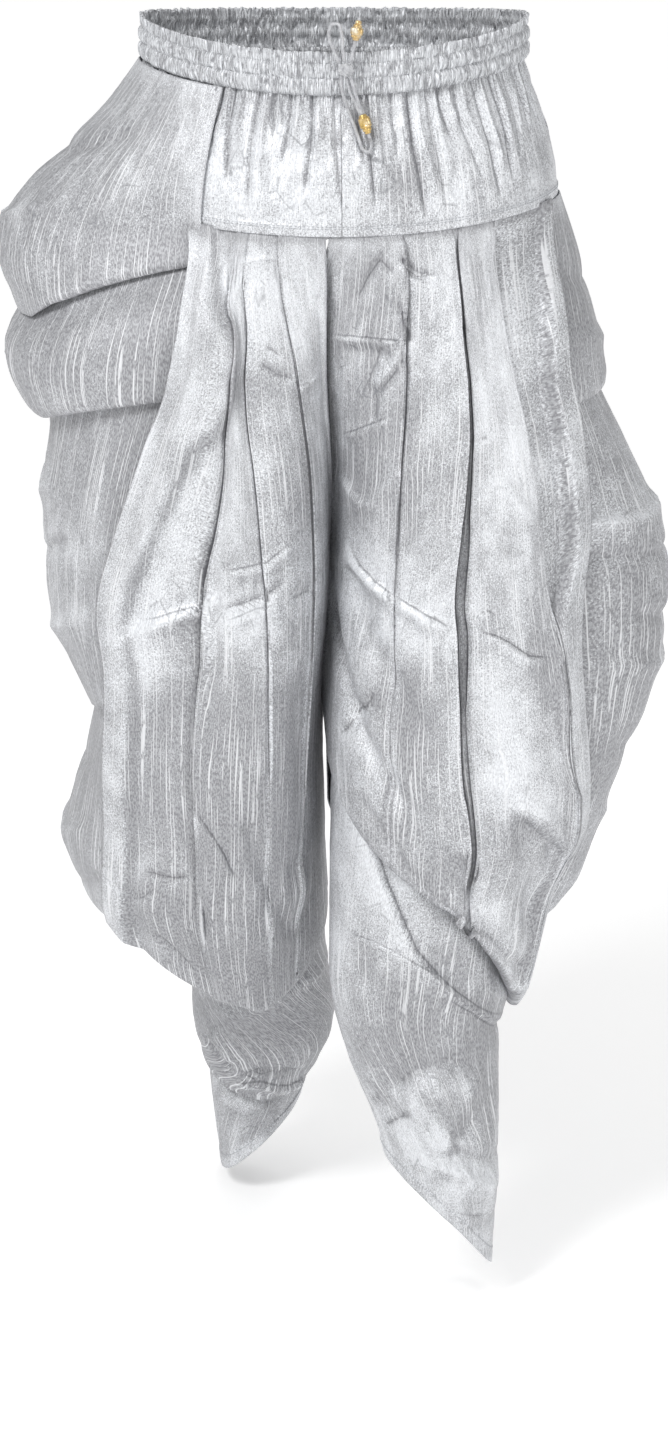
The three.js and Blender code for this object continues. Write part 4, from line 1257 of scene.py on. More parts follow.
def dress_round(
    grid: ClothGrid, drape: Drape, moved: tuple[float, float, float], calm: Any, seeds: tuple[int, int]
) -> None:
    """Presses a drape into the front of a tube of cloth, and a moved one into its back.

    Args:
        grid: the tube.
        drape: the front's drape.
        moved: how the back's is moved across and down, and its strength.
        calm: how strongly, from 0 to 1, at each point.
        seeds: pick the front's and the back's crumples.
    """
    u, v = grid.points[..., 0], grid.points[..., 2]
    in_front = smooth(-0.45, 0.15, -grid.normals()[..., 1])
    grid.dress(drape, u, v, in_front * calm, seed=seeds[0])
    grid.dress(drape.shifted(*moved), u, v, (1 - in_front) * calm, seed=seeds[1])


@dataclass(frozen=True)
class LowerLeg:
    """A tapered tube down to a slanted hem, with a turned-up hem and its stitching."""

    name: str
    side: Side
    top: float
    hem_inner: float
    hem_outer: float
    columns: int
    rows: int
    lean: float
    cut: tuple[float, float]
    cut_area: float
    drape: Drape

    def grid(self) -> ClothGrid:
        """The sheet: the lower leg's form from its top to the hem's level at each turn.

        Returns:
            The sheet.
        """
        turn = turns_round(self.columns)
        foot = mix(self.hem_inner, self.hem_outer, (1 + np.cos(turn - 0.25 * self.side.value)) / 2)
        down = np.linspace(0.0, 1.0, self.rows)[:, None]
        z = mix(self.top, foot, down)
        hem = smooth(13.0, 10.0, z - foot) * 0.8 - 0.4 * np.exp(-(((z - foot - 12.0) / 1.5) ** 2))
        points = shin_point(self.side, turn + 0 * z, z, hem)
        if self.side is Side.LEFT:
            drawn = smooth(-520.0, -600.0, z) * smooth(-790.0, -720.0, z)
            points[..., 0] -= 7.0 * drawn * smooth(60.0, 5.0, points[..., 0])
        lie = np.stack([lengths_along(points, 1) - self.lean * (self.top - z), self.top - z], -1)
        middle = (self.side.value * 80.0, -60.0 if self.side is Side.LEFT else 60.0)
        return ClothGrid(points, lie, middle, closed=True)

    def build(self, maker: MeshMaker) -> None:
        """Makes the lower leg, its drape and the hem's stitches, 11 mm above its edge.

        Args:
            maker: makes the meshes.
        """
        grid = self.grid()
        calm = mix(1.0, 0.35, smooth(0.9, 1.0, np.linspace(0, 1, self.rows)))[:, None]
        seeds = (51 + self.side.value, 57 + self.side.value)
        dress_round(grid, self.drape, (0.9, 22.0, -0.7), calm, seeds)
        piece = maker.cloth(self.name, grid)
        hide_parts(self.name)
        side = self.side.name.lower()
        span = self.top - mix(self.hem_inner, self.hem_outer, 0.5)
        row = (1 - 11.0 / span) * (self.rows - 1)
        stitches = maker.stitch_round(f"hem_stitches_{side}", grid, row, 150, 0.15)


@dataclass(frozen=True)
class CalfWrap:
    """The last fold of the right leg's cloth, which lies round its calf."""

    name: str
    drape: Drape
    cut: tuple[float, float]
    cut_area: float
    columns: int = 150
    rows: int = 67
    top: float = -690.0

    def grid(self) -> ClothGrid:
        """The sheet: off the lower leg's form by a rise that swells above its foot and draws in at it.

        Returns:
            The sheet.
        """
        turn = turns_round(self.columns)
        down = np.linspace(0.0, 1.0, self.rows)[:, None]
        side_foot = mix(-868.0, -862.0, (1 + np.cos(turn)) / 2)
        foot = mix(side_foot, -892.0, np.maximum(0.0, -np.sin(turn)) ** 2)
        rise = 0.4 + 7.0 * smooth(0.45, 0.8, down) - 4.2 * smooth(0.85, 1.0, down)
        z = mix(self.top, foot, down)
        points = shin_point(Side.RIGHT, turn + 0 * z, z, SOLID_WALL + LAYER + rise)
        lie = np.stack([lengths_along(points, 1) + 0.8 * (self.top - z), self.top - z], -1)
        return ClothGrid(points, lie, (-75.0, 80.0), closed=True)

    def build(self, maker: MeshMaker) -> None:
        """Makes the wrap, paints shade on its upper part under the leg panel's foot, and presses in its drape.

        Args:
            maker: makes the meshes.
        """
        grid = self.grid()
        # painted shade on the upper rows, which lie under the leg panel's foot
        grid.light -= 0.5 * smooth(0.62, 0.4, np.linspace(0, 1, self.rows))[:, None]
        dress_round(grid, self.drape, (1.0, 12.0, -0.6), 1.0, (71, 72))
        piece = maker.cloth(self.name, grid)
        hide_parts(self.name)


@dataclass(frozen=True)
class Waistband:
    """A frilled top edge and two elastic channels between three rows of stitching, gathered all round."""

    columns: int = 1408
    rows: int = 33

    def grid(self) -> ClothGrid:
        """The sheet: an ellipse whose wall stands out by tall narrow noise, less at each row of stitching.
        Light is painted on the gathers' ridges, and shade in their troughs and along the stitching.

        Returns:
            The sheet.
        """
        angle = turns_round(self.columns)
        down = np.linspace(0.0, BAND_HEIGHT - SEAM, self.rows)[:, None]
        turn = angle / (2 * math.pi) + 0 * down
        channel = smooth(7.0, 9.0, down) + smooth(18.0, 20.0, down)
        large = lattice_noise(turn * 320 + 0 * down, down / 11.0 + 7.0 * channel, 5)
        small = lattice_noise(turn * 512 + 0.06 * down, down / 6.0 + 5.0 * channel, 6)
        gather = smooth(0.15, 0.85, 0.55 * large + 0.45 * small)
        frill = smooth(8.5, 6.5, down)
        puff = sum(np.exp(-(((down - at) / reach) ** 4)) for at, reach in ((13.4, 4.6), (25.4, 5.4)))
        pinch = sum(np.exp(-(((down - at) / 0.9) ** 2)) for at in (8.0, 19.0, 31.2))
        depth = (1.5 + 1.7 * puff + 1.9 * frill * smooth(8.0, 0.0, down)) * (1 - 0.6 * pinch)
        off = 3.0 + 1.5 * puff - 0.6 * pinch + 0.5 * frill
        off = off + 0.95 * depth * (gather - 0.55)
        z = waist_top(angle) - down - -1.3 * frill * smooth(8.0, 0.0, down) * gather
        points = stacked((WAIST_WIDE + off) * np.cos(angle), (WAIST_DEEP + off) * np.sin(angle), z)
        lie = np.stack(np.broadcast_arrays(angle * 205.0, down), -1)
        grid = ClothGrid(points, lie, (0.0, 0.0), closed=True)
        # painted light and shade: lighter over all and on the gathers' ridges, darker in their troughs and at
        # the pinched rows of stitching; gather also brings the material's painted light and the painted shade
        # in its puckers
        grid.light = 0.6 * (gather - 0.5) + 0.22 - 0.3 * pinch
        grid.gather = 1.0 - 0.3 * pinch + 0 * gather
        return grid

    def build(self, maker: MeshMaker) -> None:
        """Makes the band and its three rows of stitches.

        Args:
            maker: makes the meshes.
        """
        grid = self.grid()
        piece = maker.cloth("waistband", grid, 1.6)
        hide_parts("waistband")
        for n, down in enumerate((8.0, 19.0, 30.6)):
            row = down / (BAND_HEIGHT - SEAM) * (self.rows - 1)
            maker.stitch_round(f"band_stitches_{n + 1}", grid, row, 200, 0.2, 2.0, 0.5)


@dataclass(frozen=True)
class YokeQuarter:
    """A quarter of the hip yoke, gathered under the band and smooth at its stitched lower edge."""

    name: str
    start: float
    end: float
    columns: int
    rows: int
    gathers: int
    seed: int
    drape: Drape

    def gather_creases(self) -> tuple[Crease, ...]:
        """The gathers: soft troughs and ridges that run down from the band, uneven in every size.

        Returns:
            Their creases, by distance round the yoke and down it.
        """
        chance = np.random.default_rng(self.seed)
        width = 230.0 / self.gathers
        creases = []
        for n in range(self.gathers):
            at = (n + 0.5 + chance.uniform(-0.33, 0.33)) * width
            long = chance.uniform(26.0, 104.0)
            drift = chance.uniform(-7.0, 7.0)
            bend = chance.uniform(-3.0, 3.0)
            path = ((at, -14.0), (at + bend, 0.4 * long), (at + drift, long))
            creases.append(Crease(path, chance.uniform(1.8, 3.4), -chance.uniform(1.0, 2.8), 1.6))
            ridge = at + chance.uniform(0.35, 0.6) * width
            path = ((ridge, -14.0), (ridge + bend, 0.3 * long), (ridge + drift, 0.75 * long))
            creases.append(Crease(path, chance.uniform(2.0, 3.6), chance.uniform(0.8, 2.2)))
        return tuple(creases)

    def grid(self) -> ClothGrid:
        """The sheet: the hip's form between two places round it, 0.8 mm proud where its lower edge is turned.

        Returns:
            The sheet.
        """
        angle = np.linspace(self.start, self.end, self.columns)[None, :]
        down = np.linspace(-0.02, 1.0, self.rows)[:, None]
        welt = 0.8 * smooth(0.9, 0.93, down)
        points = yoke_point(angle, down, welt + 0 * angle)
        points[..., 2] -= 0.2
        return ClothGrid(points, flat_lie(points, self.rows // 2), (0.0, 0.0))

    def build(self, maker: MeshMaker) -> None:
        """Makes the quarter, with two rows of stitches above its lower edge.

        Args:
            maker: makes the meshes.
        """
        grid = self.grid()
        u, v = grid.lie[..., 0], grid.lie[..., 1]
        flat = smooth(1.0, 0.86, np.linspace(0, 1, self.rows))[:, None] * np.ones(u.shape)
        grid.dress(Drape(self.gather_creases(), crumple=0.0), u, v, flat, seed=self.seed)
        x, z = grid.points[..., 0], grid.points[..., 2]
        grid.dress(self.drape, x, z, flat, seed=self.seed + 1)
        # gathered near the band, where the material paints the silk lighter, with painted shade in its puckers
        grid.gather = 0.8 * smooth(14.0, 0.0, v) + 0.12 * flat
        piece = maker.cloth(self.name, grid)
        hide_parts(self.name)
        for n, above in enumerate((6.0, 7.8)):
            count = 84
            column = np.linspace(1.0, self.columns - 2.0, count)
            row = np.full(count, (1 - above / 108.0) * (self.rows - 1))
            centres, outs = grid.at(row, column)
            name, ways = f"{self.name}_stitches_{n + 1}", np.gradient(centres, axis=0)
            maker.stitches(name, centres + 0.15 * outs, ways, outs)


CORD_RADIUS = 1.3
KNOT_CENTRE = (9.0, -11.0, 4.0)  # its x, z and distance out from the cloth
KNOT_SIZE = (12.0, 7.4, 10.0)


def on_front(route: Sequence[tuple[float, float, float]]) -> np.ndarray:
    """Points in front of the band and the yoke, clear of both.

    Args:
        route: the x, z and distance out from the cloth of each.

    Returns:
        The points.
    """
    x, z, out = np.array(route, float).T
    down = np.clip((-31.5 - z) / (-BAND_HEIGHT - FRONT_SEAM_LEVEL), 0.0, 1.0)
    cloth_front = np.abs(yoke_point(-math.pi / 2, down, 1.9)[..., 1]) - 0.0028 * x**2
    return stacked(x, -(np.maximum(113.9, cloth_front) + CORD_RADIUS + SEAM + out), z)


def smooth_path(points: np.ndarray, step: float) -> np.ndarray:
    """A centripetal Catmull-Rom curve.

    Args:
        points: the points that it goes through.
        step: about how far apart its own points are.

    Returns:
        Its points.
    """
    ends = np.concatenate([[2 * points[0] - points[1]], points, [2 * points[-1] - points[-2]]])
    found = []
    for a, b, c, d in zip(ends, ends[1:], ends[2:], ends[3:]):
        gaps = [math.sqrt(float(np.linalg.norm(q - p))) for p, q in ((a, b), (b, c), (c, d))]
        slope_b = (b - a) / gaps[0] - (c - a) / (gaps[0] + gaps[1]) + (c - b) / gaps[1]
        slope_c = (c - b) / gaps[1] - (d - b) / (gaps[1] + gaps[2]) + (d - c) / gaps[2]
        t = np.linspace(0.0, 1.0, 24, endpoint=False)[:, None]
        curve = (2 * t**3 - 3 * t**2 + 1) * b + (3 * t**2 - 2 * t**3) * c
        found.append(curve + ((t**3 - 2 * t**2 + t) * slope_b + (t**3 - t**2) * slope_c) * gaps[1])
    dense = np.concatenate([*found, points[-1:]])
    run = lengths_along(dense, 0)
    places = np.linspace(0.0, run[-1], max(4, round(run[-1] / step)) + 1)
    return np.stack([np.interp(places, run, dense[:, k]) for k in range(3)], -1)


def swept(path: np.ndarray, radii: np.ndarray) -> np.ndarray:
    """Rings round a path, kept from twisting by carrying one side along it.

    Args:
        path: the middle of each ring.
        radii: a row for each ring, with the radius at each turn.

    Returns:
        The rings' points.
    """
    ways = np.gradient(path, axis=0)
    ways = ways / np.linalg.norm(ways, axis=1, keepdims=True)
    side = np.cross(ways[0], (0.0, 1.0, 0.0))
    sides = []
    for way in ways:
        side = side - way * float(side @ way)
        side = side / np.linalg.norm(side)
        sides.append(side)
    first = np.array(sides)
    second = np.cross(ways, first)
    turns = turns_round(radii.shape[1])[..., None]
    ring = np.cos(turns) * first[:, None] + np.sin(turns) * second[:, None]
    return path[:, None] + ring * radii[..., None]


def ring_faces(rings: int, around: int) -> list[tuple[int, ...]]:
    """The faces of a stack of rings, with both ends closed.

    Args:
        rings: the number of rings.
        around: the number of points in each.

    Returns:
        The faces as point numbers.
    """
    ids = np.arange(rings * around).reshape(rings, around)
    right = np.roll(ids, -1, 1)
    sides = (ids[:-1], right[:-1], right[1:], ids[1:])
    faces: list[tuple[int, ...]] = list(zip(*(corner.ravel().tolist() for corner in sides)))
    return [*faces, tuple(ids[0][::-1].tolist()), tuple(ids[-1].tolist())]


@dataclass(frozen=True)
class Cord:
    """One length of the drawstring, from the knot."""

    name: str
    route: tuple[tuple[float, float, float], ...]
    bead: str = ""
    bead_from: float = 0.0

    def path(self) -> np.ndarray:
        """Its middle line in millimetres, a point every 0.7 mm."""
        return smooth_path(on_front(self.route), 0.7)


@dataclass(frozen=True)
class Drawstring:
    """The soft twisted cord tied in a bow, with a metal bead on each free end."""

    cords: tuple[Cord, ...]
    strands: int = 3
    pitch: float = 7.5

    def build(self, maker: MeshMaker) -> None:
        """Makes the cords with their beads, and the knot that they leave.

        Args:
            maker: makes the meshes.
        """
        for cord in self.cords:
            path = cord.path()
            piece = self.twisted(maker, cord.name, path)
            beads = [self.bead(maker, cord, path)] if cord.bead else []
            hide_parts(cord.name)
        self.knot(maker)

    def twisted(self, maker: MeshMaker, name: str, path: np.ndarray) -> bpy.types.Object:
        """A cord whose radius swells by |cos(strands * turn / 2)| in each strand, turned as it goes along.

        Args:
            maker: makes the meshes.
            name: the object's name.
            path: the cord's middle line.

        Returns:
            The object.
        """
        around = 18
        along = lengths_along(path, 0)[:, None]
        turn = turns_round(around)
        lobe = np.abs(np.cos(self.strands / 2 * (turn + 2 * math.pi * along / self.pitch)))
        ends = np.sqrt(np.clip(1 - np.clip(1 - (along[-1] - along) / 1.2, 0, 1) ** 2, 0.05, 1))
        points = swept(path, CORD_RADIUS * (0.8 + 0.24 * lobe) * ends)
        lie = np.stack(np.broadcast_arrays(turn * CORD_RADIUS, along), -1).reshape(-1, 2)
        return maker.put(name, points.reshape(-1, 3), ring_faces(len(path), around), "cord", lie)

    def knot(self, maker: MeshMaker) -> None:
        """The bow's knot: an egg wound round by cord, its radius rippling across the way it is wound.

        Args:
            maker: makes the meshes.
        """
        rows, around = 40, 56
        rise = np.linspace(-0.47 * math.pi, 0.47 * math.pi, rows)[:, None]
        turn = turns_round(around)
        x, y, z = np.cos(rise) * np.cos(turn), np.cos(rise) * np.sin(turn), np.sin(rise) + 0 * turn
        wound = 3.2 * (x + 0.55 * z) + 0.9 * np.sin(2.2 * z - y)
        ripple = 1 - 0.17 * (1 - np.abs(np.cos(wound * 1.25))) ** 2 + 0.03 * np.sin(9 * (z - 0.5 * x) + 4 * y)
        size = np.array(KNOT_SIZE) / 2
        centre = on_front((KNOT_CENTRE,))[0]
        points = centre + stacked(x, y, z) * ripple[..., None] * size * 1.04
        lie = np.stack(np.broadcast_arrays(turn * 5, rise * 5), -1).reshape(-1, 2)
        piece = maker.put("knot", points.reshape(-1, 3), ring_faces(rows, around), "cord", lie)
        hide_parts("knot")

    def bead(self, maker: MeshMaker, cord: Cord, path: np.ndarray) -> bpy.types.Object:
        """A bead on the cord's end: its outline turned round the cord, fluted where the outline says so.

        Args:
            maker: makes the meshes.
            cord: the cord that it is on.
            path: the cord's middle line.

        Returns:
            The object.
        """
        start = path[round((len(path) - 1) * cord.bead_from)]
        way = path[-1] - start
        way = way / np.linalg.norm(way)
        along, radius, flute = BEAD_OUTLINES[cord.bead]
        around = 48
        turn = turns_round(around)
        wave = 1 - np.array(flute)[:, None] * (1 - np.abs(np.cos(5 * turn)))
        middle = start + np.array(along)[:, None] * way
        points = swept(middle, np.array(radius)[:, None] * wave)
        lie = np.stack(np.broadcast_arrays(turn * 4, np.array(along)[:, None]), -1)
        rings = ring_faces(len(along), around)
        piece = maker.put(cord.bead, points.reshape(-1, 3), rings, cord.bead, lie.reshape(-1, 2))
        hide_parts(cord.bead)
        return piece


def outline(rows: Sequence[tuple[float, float, float]]) -> tuple[np.ndarray, np.ndarray, np.ndarray]:
    """A bead's outline, on a smooth curve with four rows to each given one.

    Args:
        rows: the place along the bead, the radius and the flutes' depth.

    Returns:
        The finer rows' places, radii and depths.
    """
    table = refined([np.array([row]) for row in rows], [4] * (len(rows) - 1))[:, 0]
    return table[:, 0], np.maximum(table[:, 1], 1.4), np.clip(table[:, 2], 0.0, 0.3)


BEAD_OUTLINES = {
    "bead_upper": outline((
        (0.0, 1.5, 0), (0.1, 2.4, 0), (1.5, 2.6, 0), (2.0, 3.6, 0.05), (2.8, 3.9, 0.1), (3.6, 3.7, 0.1),
        (4.4, 4.5, 0.14), (6.2, 4.9, 0.16), (8.0, 4.8, 0.16), (9.2, 4.2, 0.14), (9.9, 3.2, 0.05),
        (10.6, 3.4, 0), (11.4, 3.1, 0), (11.9, 2.2, 0), (12.8, 2.6, 0), (14.2, 2.1, 0), (14.8, 1.5, 0),
    )),
    "bead_lower": outline((
        (0.0, 1.5, 0), (0.1, 2.6, 0), (1.0, 2.9, 0), (1.6, 3.4, 0), (2.2, 3.3, 0), (2.6, 4.2, 0),
        (4.2, 4.4, 0.12), (6.0, 4.5, 0.16), (7.8, 4.4, 0.14), (8.8, 4.5, 0), (9.6, 4.3, 0),
        (10.2, 3.3, 0), (11.2, 3.5, 0), (12.4, 3.2, 0), (13.2, 2.4, 0), (14.4, 2.3, 0), (14.8, 1.5, 0),
    )),
}


class Value:
    """An output of a material's node, on which sums can be written."""

    def __init__(self, shader: Shader, socket: bpy.types.NodeSocket) -> None:
        """Keeps the output and the material it is part of."""
        self.shader = shader
        self.socket = socket

    def math(self, operation: str, *others: Any) -> Value:
        """A math node on this value and the others."""
        return self.shader.math(operation, self, *others)

    def __add__(self, other: Any) -> Value:
        """This value plus the other."""
        return self.math("ADD", other)

    def __radd__(self, other: Any) -> Value:
        """The other plus this value."""
        return self.math("ADD", other)

    def __sub__(self, other: Any) -> Value:
        """This value less the other."""
        return self.math("SUBTRACT", other)

    def __rsub__(self, other: Any) -> Value:
        """The other less this value."""
        return self.shader.math("SUBTRACT", other, self)

    def __mul__(self, other: Any) -> Value:
        """This value times the other."""
        return self.math("MULTIPLY", other)

    def __rmul__(self, other: Any) -> Value:
        """The other times this value."""
        return self.math("MULTIPLY", other)

    def over(self, low: float, high: float) -> Value:
        """0 where this is below low, 1 above high, smooth between them."""
        settings = {"interpolation_type": "SMOOTHSTEP"}
        return self.shader.node("ShaderNodeMapRange", settings, Value=self, From_Min=low, From_Max=high)

    def clamped(self) -> Value:
        """This value kept from 0 to 1."""
        return self.shader.node("ShaderNodeClamp", {}, Value=self)


class Shader:
    """One material's nodes: patterns, sums and the surface they end in."""

    def __init__(self, name: str) -> None:
        """Starts an empty material with a principled surface.

        Args:
            name: the material's name.
        """
        self.material = bpy.data.materials.new(name)
        self.material.use_nodes = True
        self.tree = self.material.node_tree
        self.tree.nodes.clear()
        self.surface = self.tree.nodes.new("ShaderNodeBsdfPrincipled")
        end = self.tree.nodes.new("ShaderNodeOutputMaterial")
        self.tree.links.new(self.surface.outputs["BSDF"], end.inputs["Surface"])

    def join(self, socket: bpy.types.NodeSocket, value: Any) -> None:
        """Links a value to an input, or sets the input to a plain number, vector or colour."""
        if isinstance(value, Value):
            self.tree.links.new(value.socket, socket)
        else:
            socket.default_value = value

    def node(self, kind: str, settings: dict[str, Any], output: str = "", **inputs: Any) -> Value:
        """Any node: its settings are set first, then its inputs, named with _ for a space.

        Args:
            kind: the node's type.
            settings: its own choices.
            output: the output wanted, or its first.
            inputs: a value for each input that isn't left as it is.

        Returns:
            The output.
        """
        node = self.tree.nodes.new(kind)
        for key, choice in settings.items():
            setattr(node, key, choice)
        for key, value in inputs.items():
            wanted = key.replace("_", " ")
            found = [s for s in node.inputs if s.enabled and s.name == wanted]
            self.join(found[0], value)
        outputs = [s for s in node.outputs if s.enabled and s.name.startswith(output)]
        return Value(self, outputs[0])

    def math(self, operation: str, *values: Any) -> Value:
        """A math node.

        Args:
            operation: what it works out.
            values: its inputs in order.

        Returns:
            Its result.
        """
        node = self.tree.nodes.new("ShaderNodeMath")
        node.operation = operation
        for socket, value in zip(node.inputs, values):
            self.join(socket, value)
        return Value(self, node.outputs[0])

    def blend(self, low: Any, high: Any, share: Any) -> Value:
        """The colour a share of the way from low to high."""
        return self.node("ShaderNodeMix", {"data_type": "RGBA"}, Factor=share, A=low, B=high)

    def grain(self) -> Value:
        """The place on the flat cloth, in metres across and down its grain."""
        return self.node("ShaderNodeUVMap", {"uv_map": "grain"})

    def kept(self, name: str) -> Value:
        """A value kept at each of the mesh's points."""
        return self.node("ShaderNodeAttribute", {"attribute_name": name}, "Fac")

    def stretched(self, place: Value, across: float, down: float, turn: float = 0.0) -> Value:
        """A place scaled by two frequencies and turned."""
        inputs = {"Scale": (across, down, across), "Rotation": (0.0, 0.0, turn)}
        return self.node("ShaderNodeMapping", {"vector_type": "POINT"}, Vector=place, **inputs)

    def noise(self, place: Value, detail: float = 2.0, rough: float = 0.5) -> Value:
        """Cloudy noise from 0 to 1 with a cloud to each unit of place."""
        inputs = {"Scale": 1.0, "Detail": detail, "Roughness": rough}
        return self.node("ShaderNodeTexNoise", {"noise_dimensions": "3D"}, "Fac", Vector=place, **inputs)

    def crazed(self, place: Value) -> Value:
        """The distance from the edges of scattered cells, a cell to each unit of place."""
        settings = {"feature": "DISTANCE_TO_EDGE"}
        return self.node("ShaderNodeTexVoronoi", settings, "Distance", Vector=place, Scale=1.0)

    def bumped(self, height: Value, distance: float, strength: float, under: Value | None = None) -> Value:
        """A normal bent by a height.

        Args:
            height: the height, from 0 to 1.
            distance: what a height of 1 is, in metres.
            strength: how much of it shows, from 0 to 1.
            under: a bent normal that it lies on.

        Returns:
            The normal.
        """
        inputs = {"Height": height, "Distance": distance, "Strength": strength}
        if under is not None:
            inputs["Normal"] = under
        return self.node("ShaderNodeBump", {}, "Normal", **inputs)

    def finish(self, **inputs: Any) -> bpy.types.Material:
        """Sets the surface's inputs, named with _ for a space, and gives the material."""
        for key, value in inputs.items():
            self.join(self.surface.inputs[key.replace("_", " ")], value)
        return self.material


Colour = tuple[float, float, float, float]


@dataclass(frozen=True)
class SlubSilk:
    """Silvery art silk: a smooth warp with thin pale slubs along it, a fine painted sparkle, and painted light
    and shade that mix a lit and a shaded copy of its colour.
    """

    # The first two colours are lit and shaded copies of the silk's colour, mixed by painted light and shade;
    # the third is the slubs' own colour, the fourth painted shade on crinkle and pucker lines, and the fifth
    # the painted shadow along creases and pleat edges.
    painted_lit_colour: Colour = (0.86, 0.88, 0.91, 1.0)
    shade: Colour = (0.265, 0.265, 0.28, 1.0)
    slub: Colour = (0.9, 0.91, 0.93, 1.0)
    crinkle_shade: Colour = (0.2, 0.205, 0.22, 1.0)
    fold: Colour = (0.085, 0.085, 0.095, 1.0)
    metal: float = 0.22
    slubs_across: float = 780.0
    slubs_down: float = 8.0

    def material(self) -> bpy.types.Material:
        """Its material, read from the cloth's own grain and its kept painted light and shade, crumple, gathers
        and painted shadow lines.

        Returns:
            The material.
        """
        made = Shader("slub_silk")
        grain, crumple = made.grain(), made.kept("crumple")
        # cloud paints random cloudy patches of sheen, lighter and darker, into the mix below
        cloud = made.noise(made.stretched(grain, 26.0, 18.0), 10.0, 0.68)
        speck = made.noise(made.stretched(grain, 950.0, 800.0), 2.0, 0.8)
        gaps = made.noise(made.stretched(grain, 300.0, 70.0), 1.0).over(0.32, 0.44)
        threads = made.stretched(grain, self.slubs_across, self.slubs_down)
        dash = made.noise(threads, 1.0).over(0.58, 0.65) * gaps
        cells = made.crazed(made.stretched(grain, 70.0, 42.0, 0.25))
        broken = made.noise(made.stretched(grain, 45.0, 45.0), 2.0).over(0.52, 0.6)
        line = (1.0 - cells.over(0.0, 0.05)) * broken
        puckers, gather = made.crazed(made.stretched(grain, 400.0, 75.0)), made.kept("gather")
        pucker_shade = (1.0 - puckers.over(0.02, 0.24)) * gather
        near = made.kept("near").math("ABSOLUTE") + 0.9 * (speck - 0.5)
        fold = made.kept("dark")
        # lit, the share from the shaded to the lit colour: the kept painted light and shade, random painted
        # sheen, fine grain, painted light on gathers with painted shade in their puckers and beside painted
        # shadow lines, and a painted sparkle
        lit = 0.51 + made.kept("light") * 0.95 + 1.3 * (cloud - 0.5) + (speck - 0.5) * 2.0
        lit = lit + 0.32 * gather - 0.55 * pucker_shade
        spark = made.noise(made.stretched(grain, 900.0, 330.0), 1.0).over(0.36, 0.64)
        lit = (lit - 0.4 * fold * (1.0 - near.over(0.0, 4.0))).over(0.2, 0.8) * 0.7 + 0.3 * spark
        cloth = made.blend(made.blend(self.shade, self.painted_lit_colour, lit), self.slub, dash * (0.78 - 0.4 * lit))
        # painted shade on crinkle and pucker lines, and the painted shadow along creases and pleat edges
        crinkle_shade_share = (line * (0.1 + 0.8 * crumple) + 0.4 * pucker_shade).clamped()
        crease_shadow_share = fold * (1.0 - near.over(0.15, 1.1)) * 0.85
        colour = made.blend(made.blend(cloth, self.crinkle_shade, crinkle_shade_share), self.fold, crease_shadow_share)
        rough = 0.56 - 0.12 * lit + 0.25 * (speck - 0.5)
        weave = made.bumped(speck + dash * 0.5, 0.0005, 0.4)
        pressed = cells.over(0.0, 0.5) * (0.15 + crumple) + 0.7 * gather * puckers.over(0.0, 0.5)
        inputs = {"Normal": made.bumped(pressed, 0.0025, 0.6, weave), "Specular_IOR_Level": 0.3}
        return made.finish(Base_Color=colour, Metallic=self.metal, Roughness=rough, **inputs)


@dataclass(frozen=True)
class SewingThread:
    """Pale grey thread, finely twisted."""

    pale: Colour = (0.5, 0.52, 0.55, 1.0)
    dark: Colour = (0.34, 0.35, 0.37, 1.0)

    def material(self) -> bpy.types.Material:
        """Its material, with a fine twist read from the object's own places.

        Returns:
            The material.
        """
        made = Shader("sewing_thread")
        place = made.node("ShaderNodeTexCoord", {}, "Object")
        twist = made.noise(made.stretched(place, 2600.0, 2600.0), 1.0)
        colour = made.blend(self.dark, self.pale, twist.over(0.3, 0.7))
        return made.finish(Base_Color=colour, Roughness=0.5 + 0.2 * twist)


@dataclass(frozen=True)
class SoftCord:
    """The drawstring's soft silver-grey strands, darker down between them."""

    pale: Colour = (0.6, 0.61, 0.63, 1.0)
    dark: Colour = (0.2, 0.2, 0.22, 1.0)

    def material(self) -> bpy.types.Material:
        """Its material, with fine fibres that run along the cord.

        Returns:
            The material.
        """
        made = Shader("soft_cord")
        grain = made.grain()
        fibre = made.noise(made.stretched(grain, 5200.0, 700.0, 0.5), 2.0)
        worn = made.noise(made.stretched(grain, 300.0, 160.0), 2.0)
        colour = made.blend(self.dark, self.pale, (fibre * 0.6 + worn * 0.6).over(0.35, 0.75))
        rough, normal = 0.62 + 0.2 * (worn - 0.5), made.bumped(fibre, 0.0003, 0.6)
        return made.finish(Base_Color=colour, Roughness=rough, Sheen_Weight=0.3, Normal=normal)


@dataclass(frozen=True)
class BeadMetal:
    """A bead's thin gilding, rubbed pale in uneven patches."""

    name: str
    gilt: Colour
    rubbed: Colour
    metal: float

    def material(self) -> bpy.types.Material:
        """Its material, with uneven rubbing and fine scratches.

        Returns:
            The material.
        """
        made = Shader(self.name)
        grain = made.grain()
        worn = made.noise(made.stretched(grain, 130.0, 210.0), 2.0)
        fine = made.noise(made.stretched(grain, 500.0, 4200.0), 1.0)
        colour = made.blend(self.gilt, self.rubbed, worn.over(0.42, 0.66))
        rough = 0.26 + 0.25 * (worn - 0.4) + 0.08 * fine
        metal = self.metal - 0.3 * worn.over(0.5, 0.7)
        normal = made.bumped(worn + 0.3 * fine, 0.0002, 0.35)
        return made.finish(Base_Color=colour, Metallic=metal, Roughness=rough, Normal=normal)


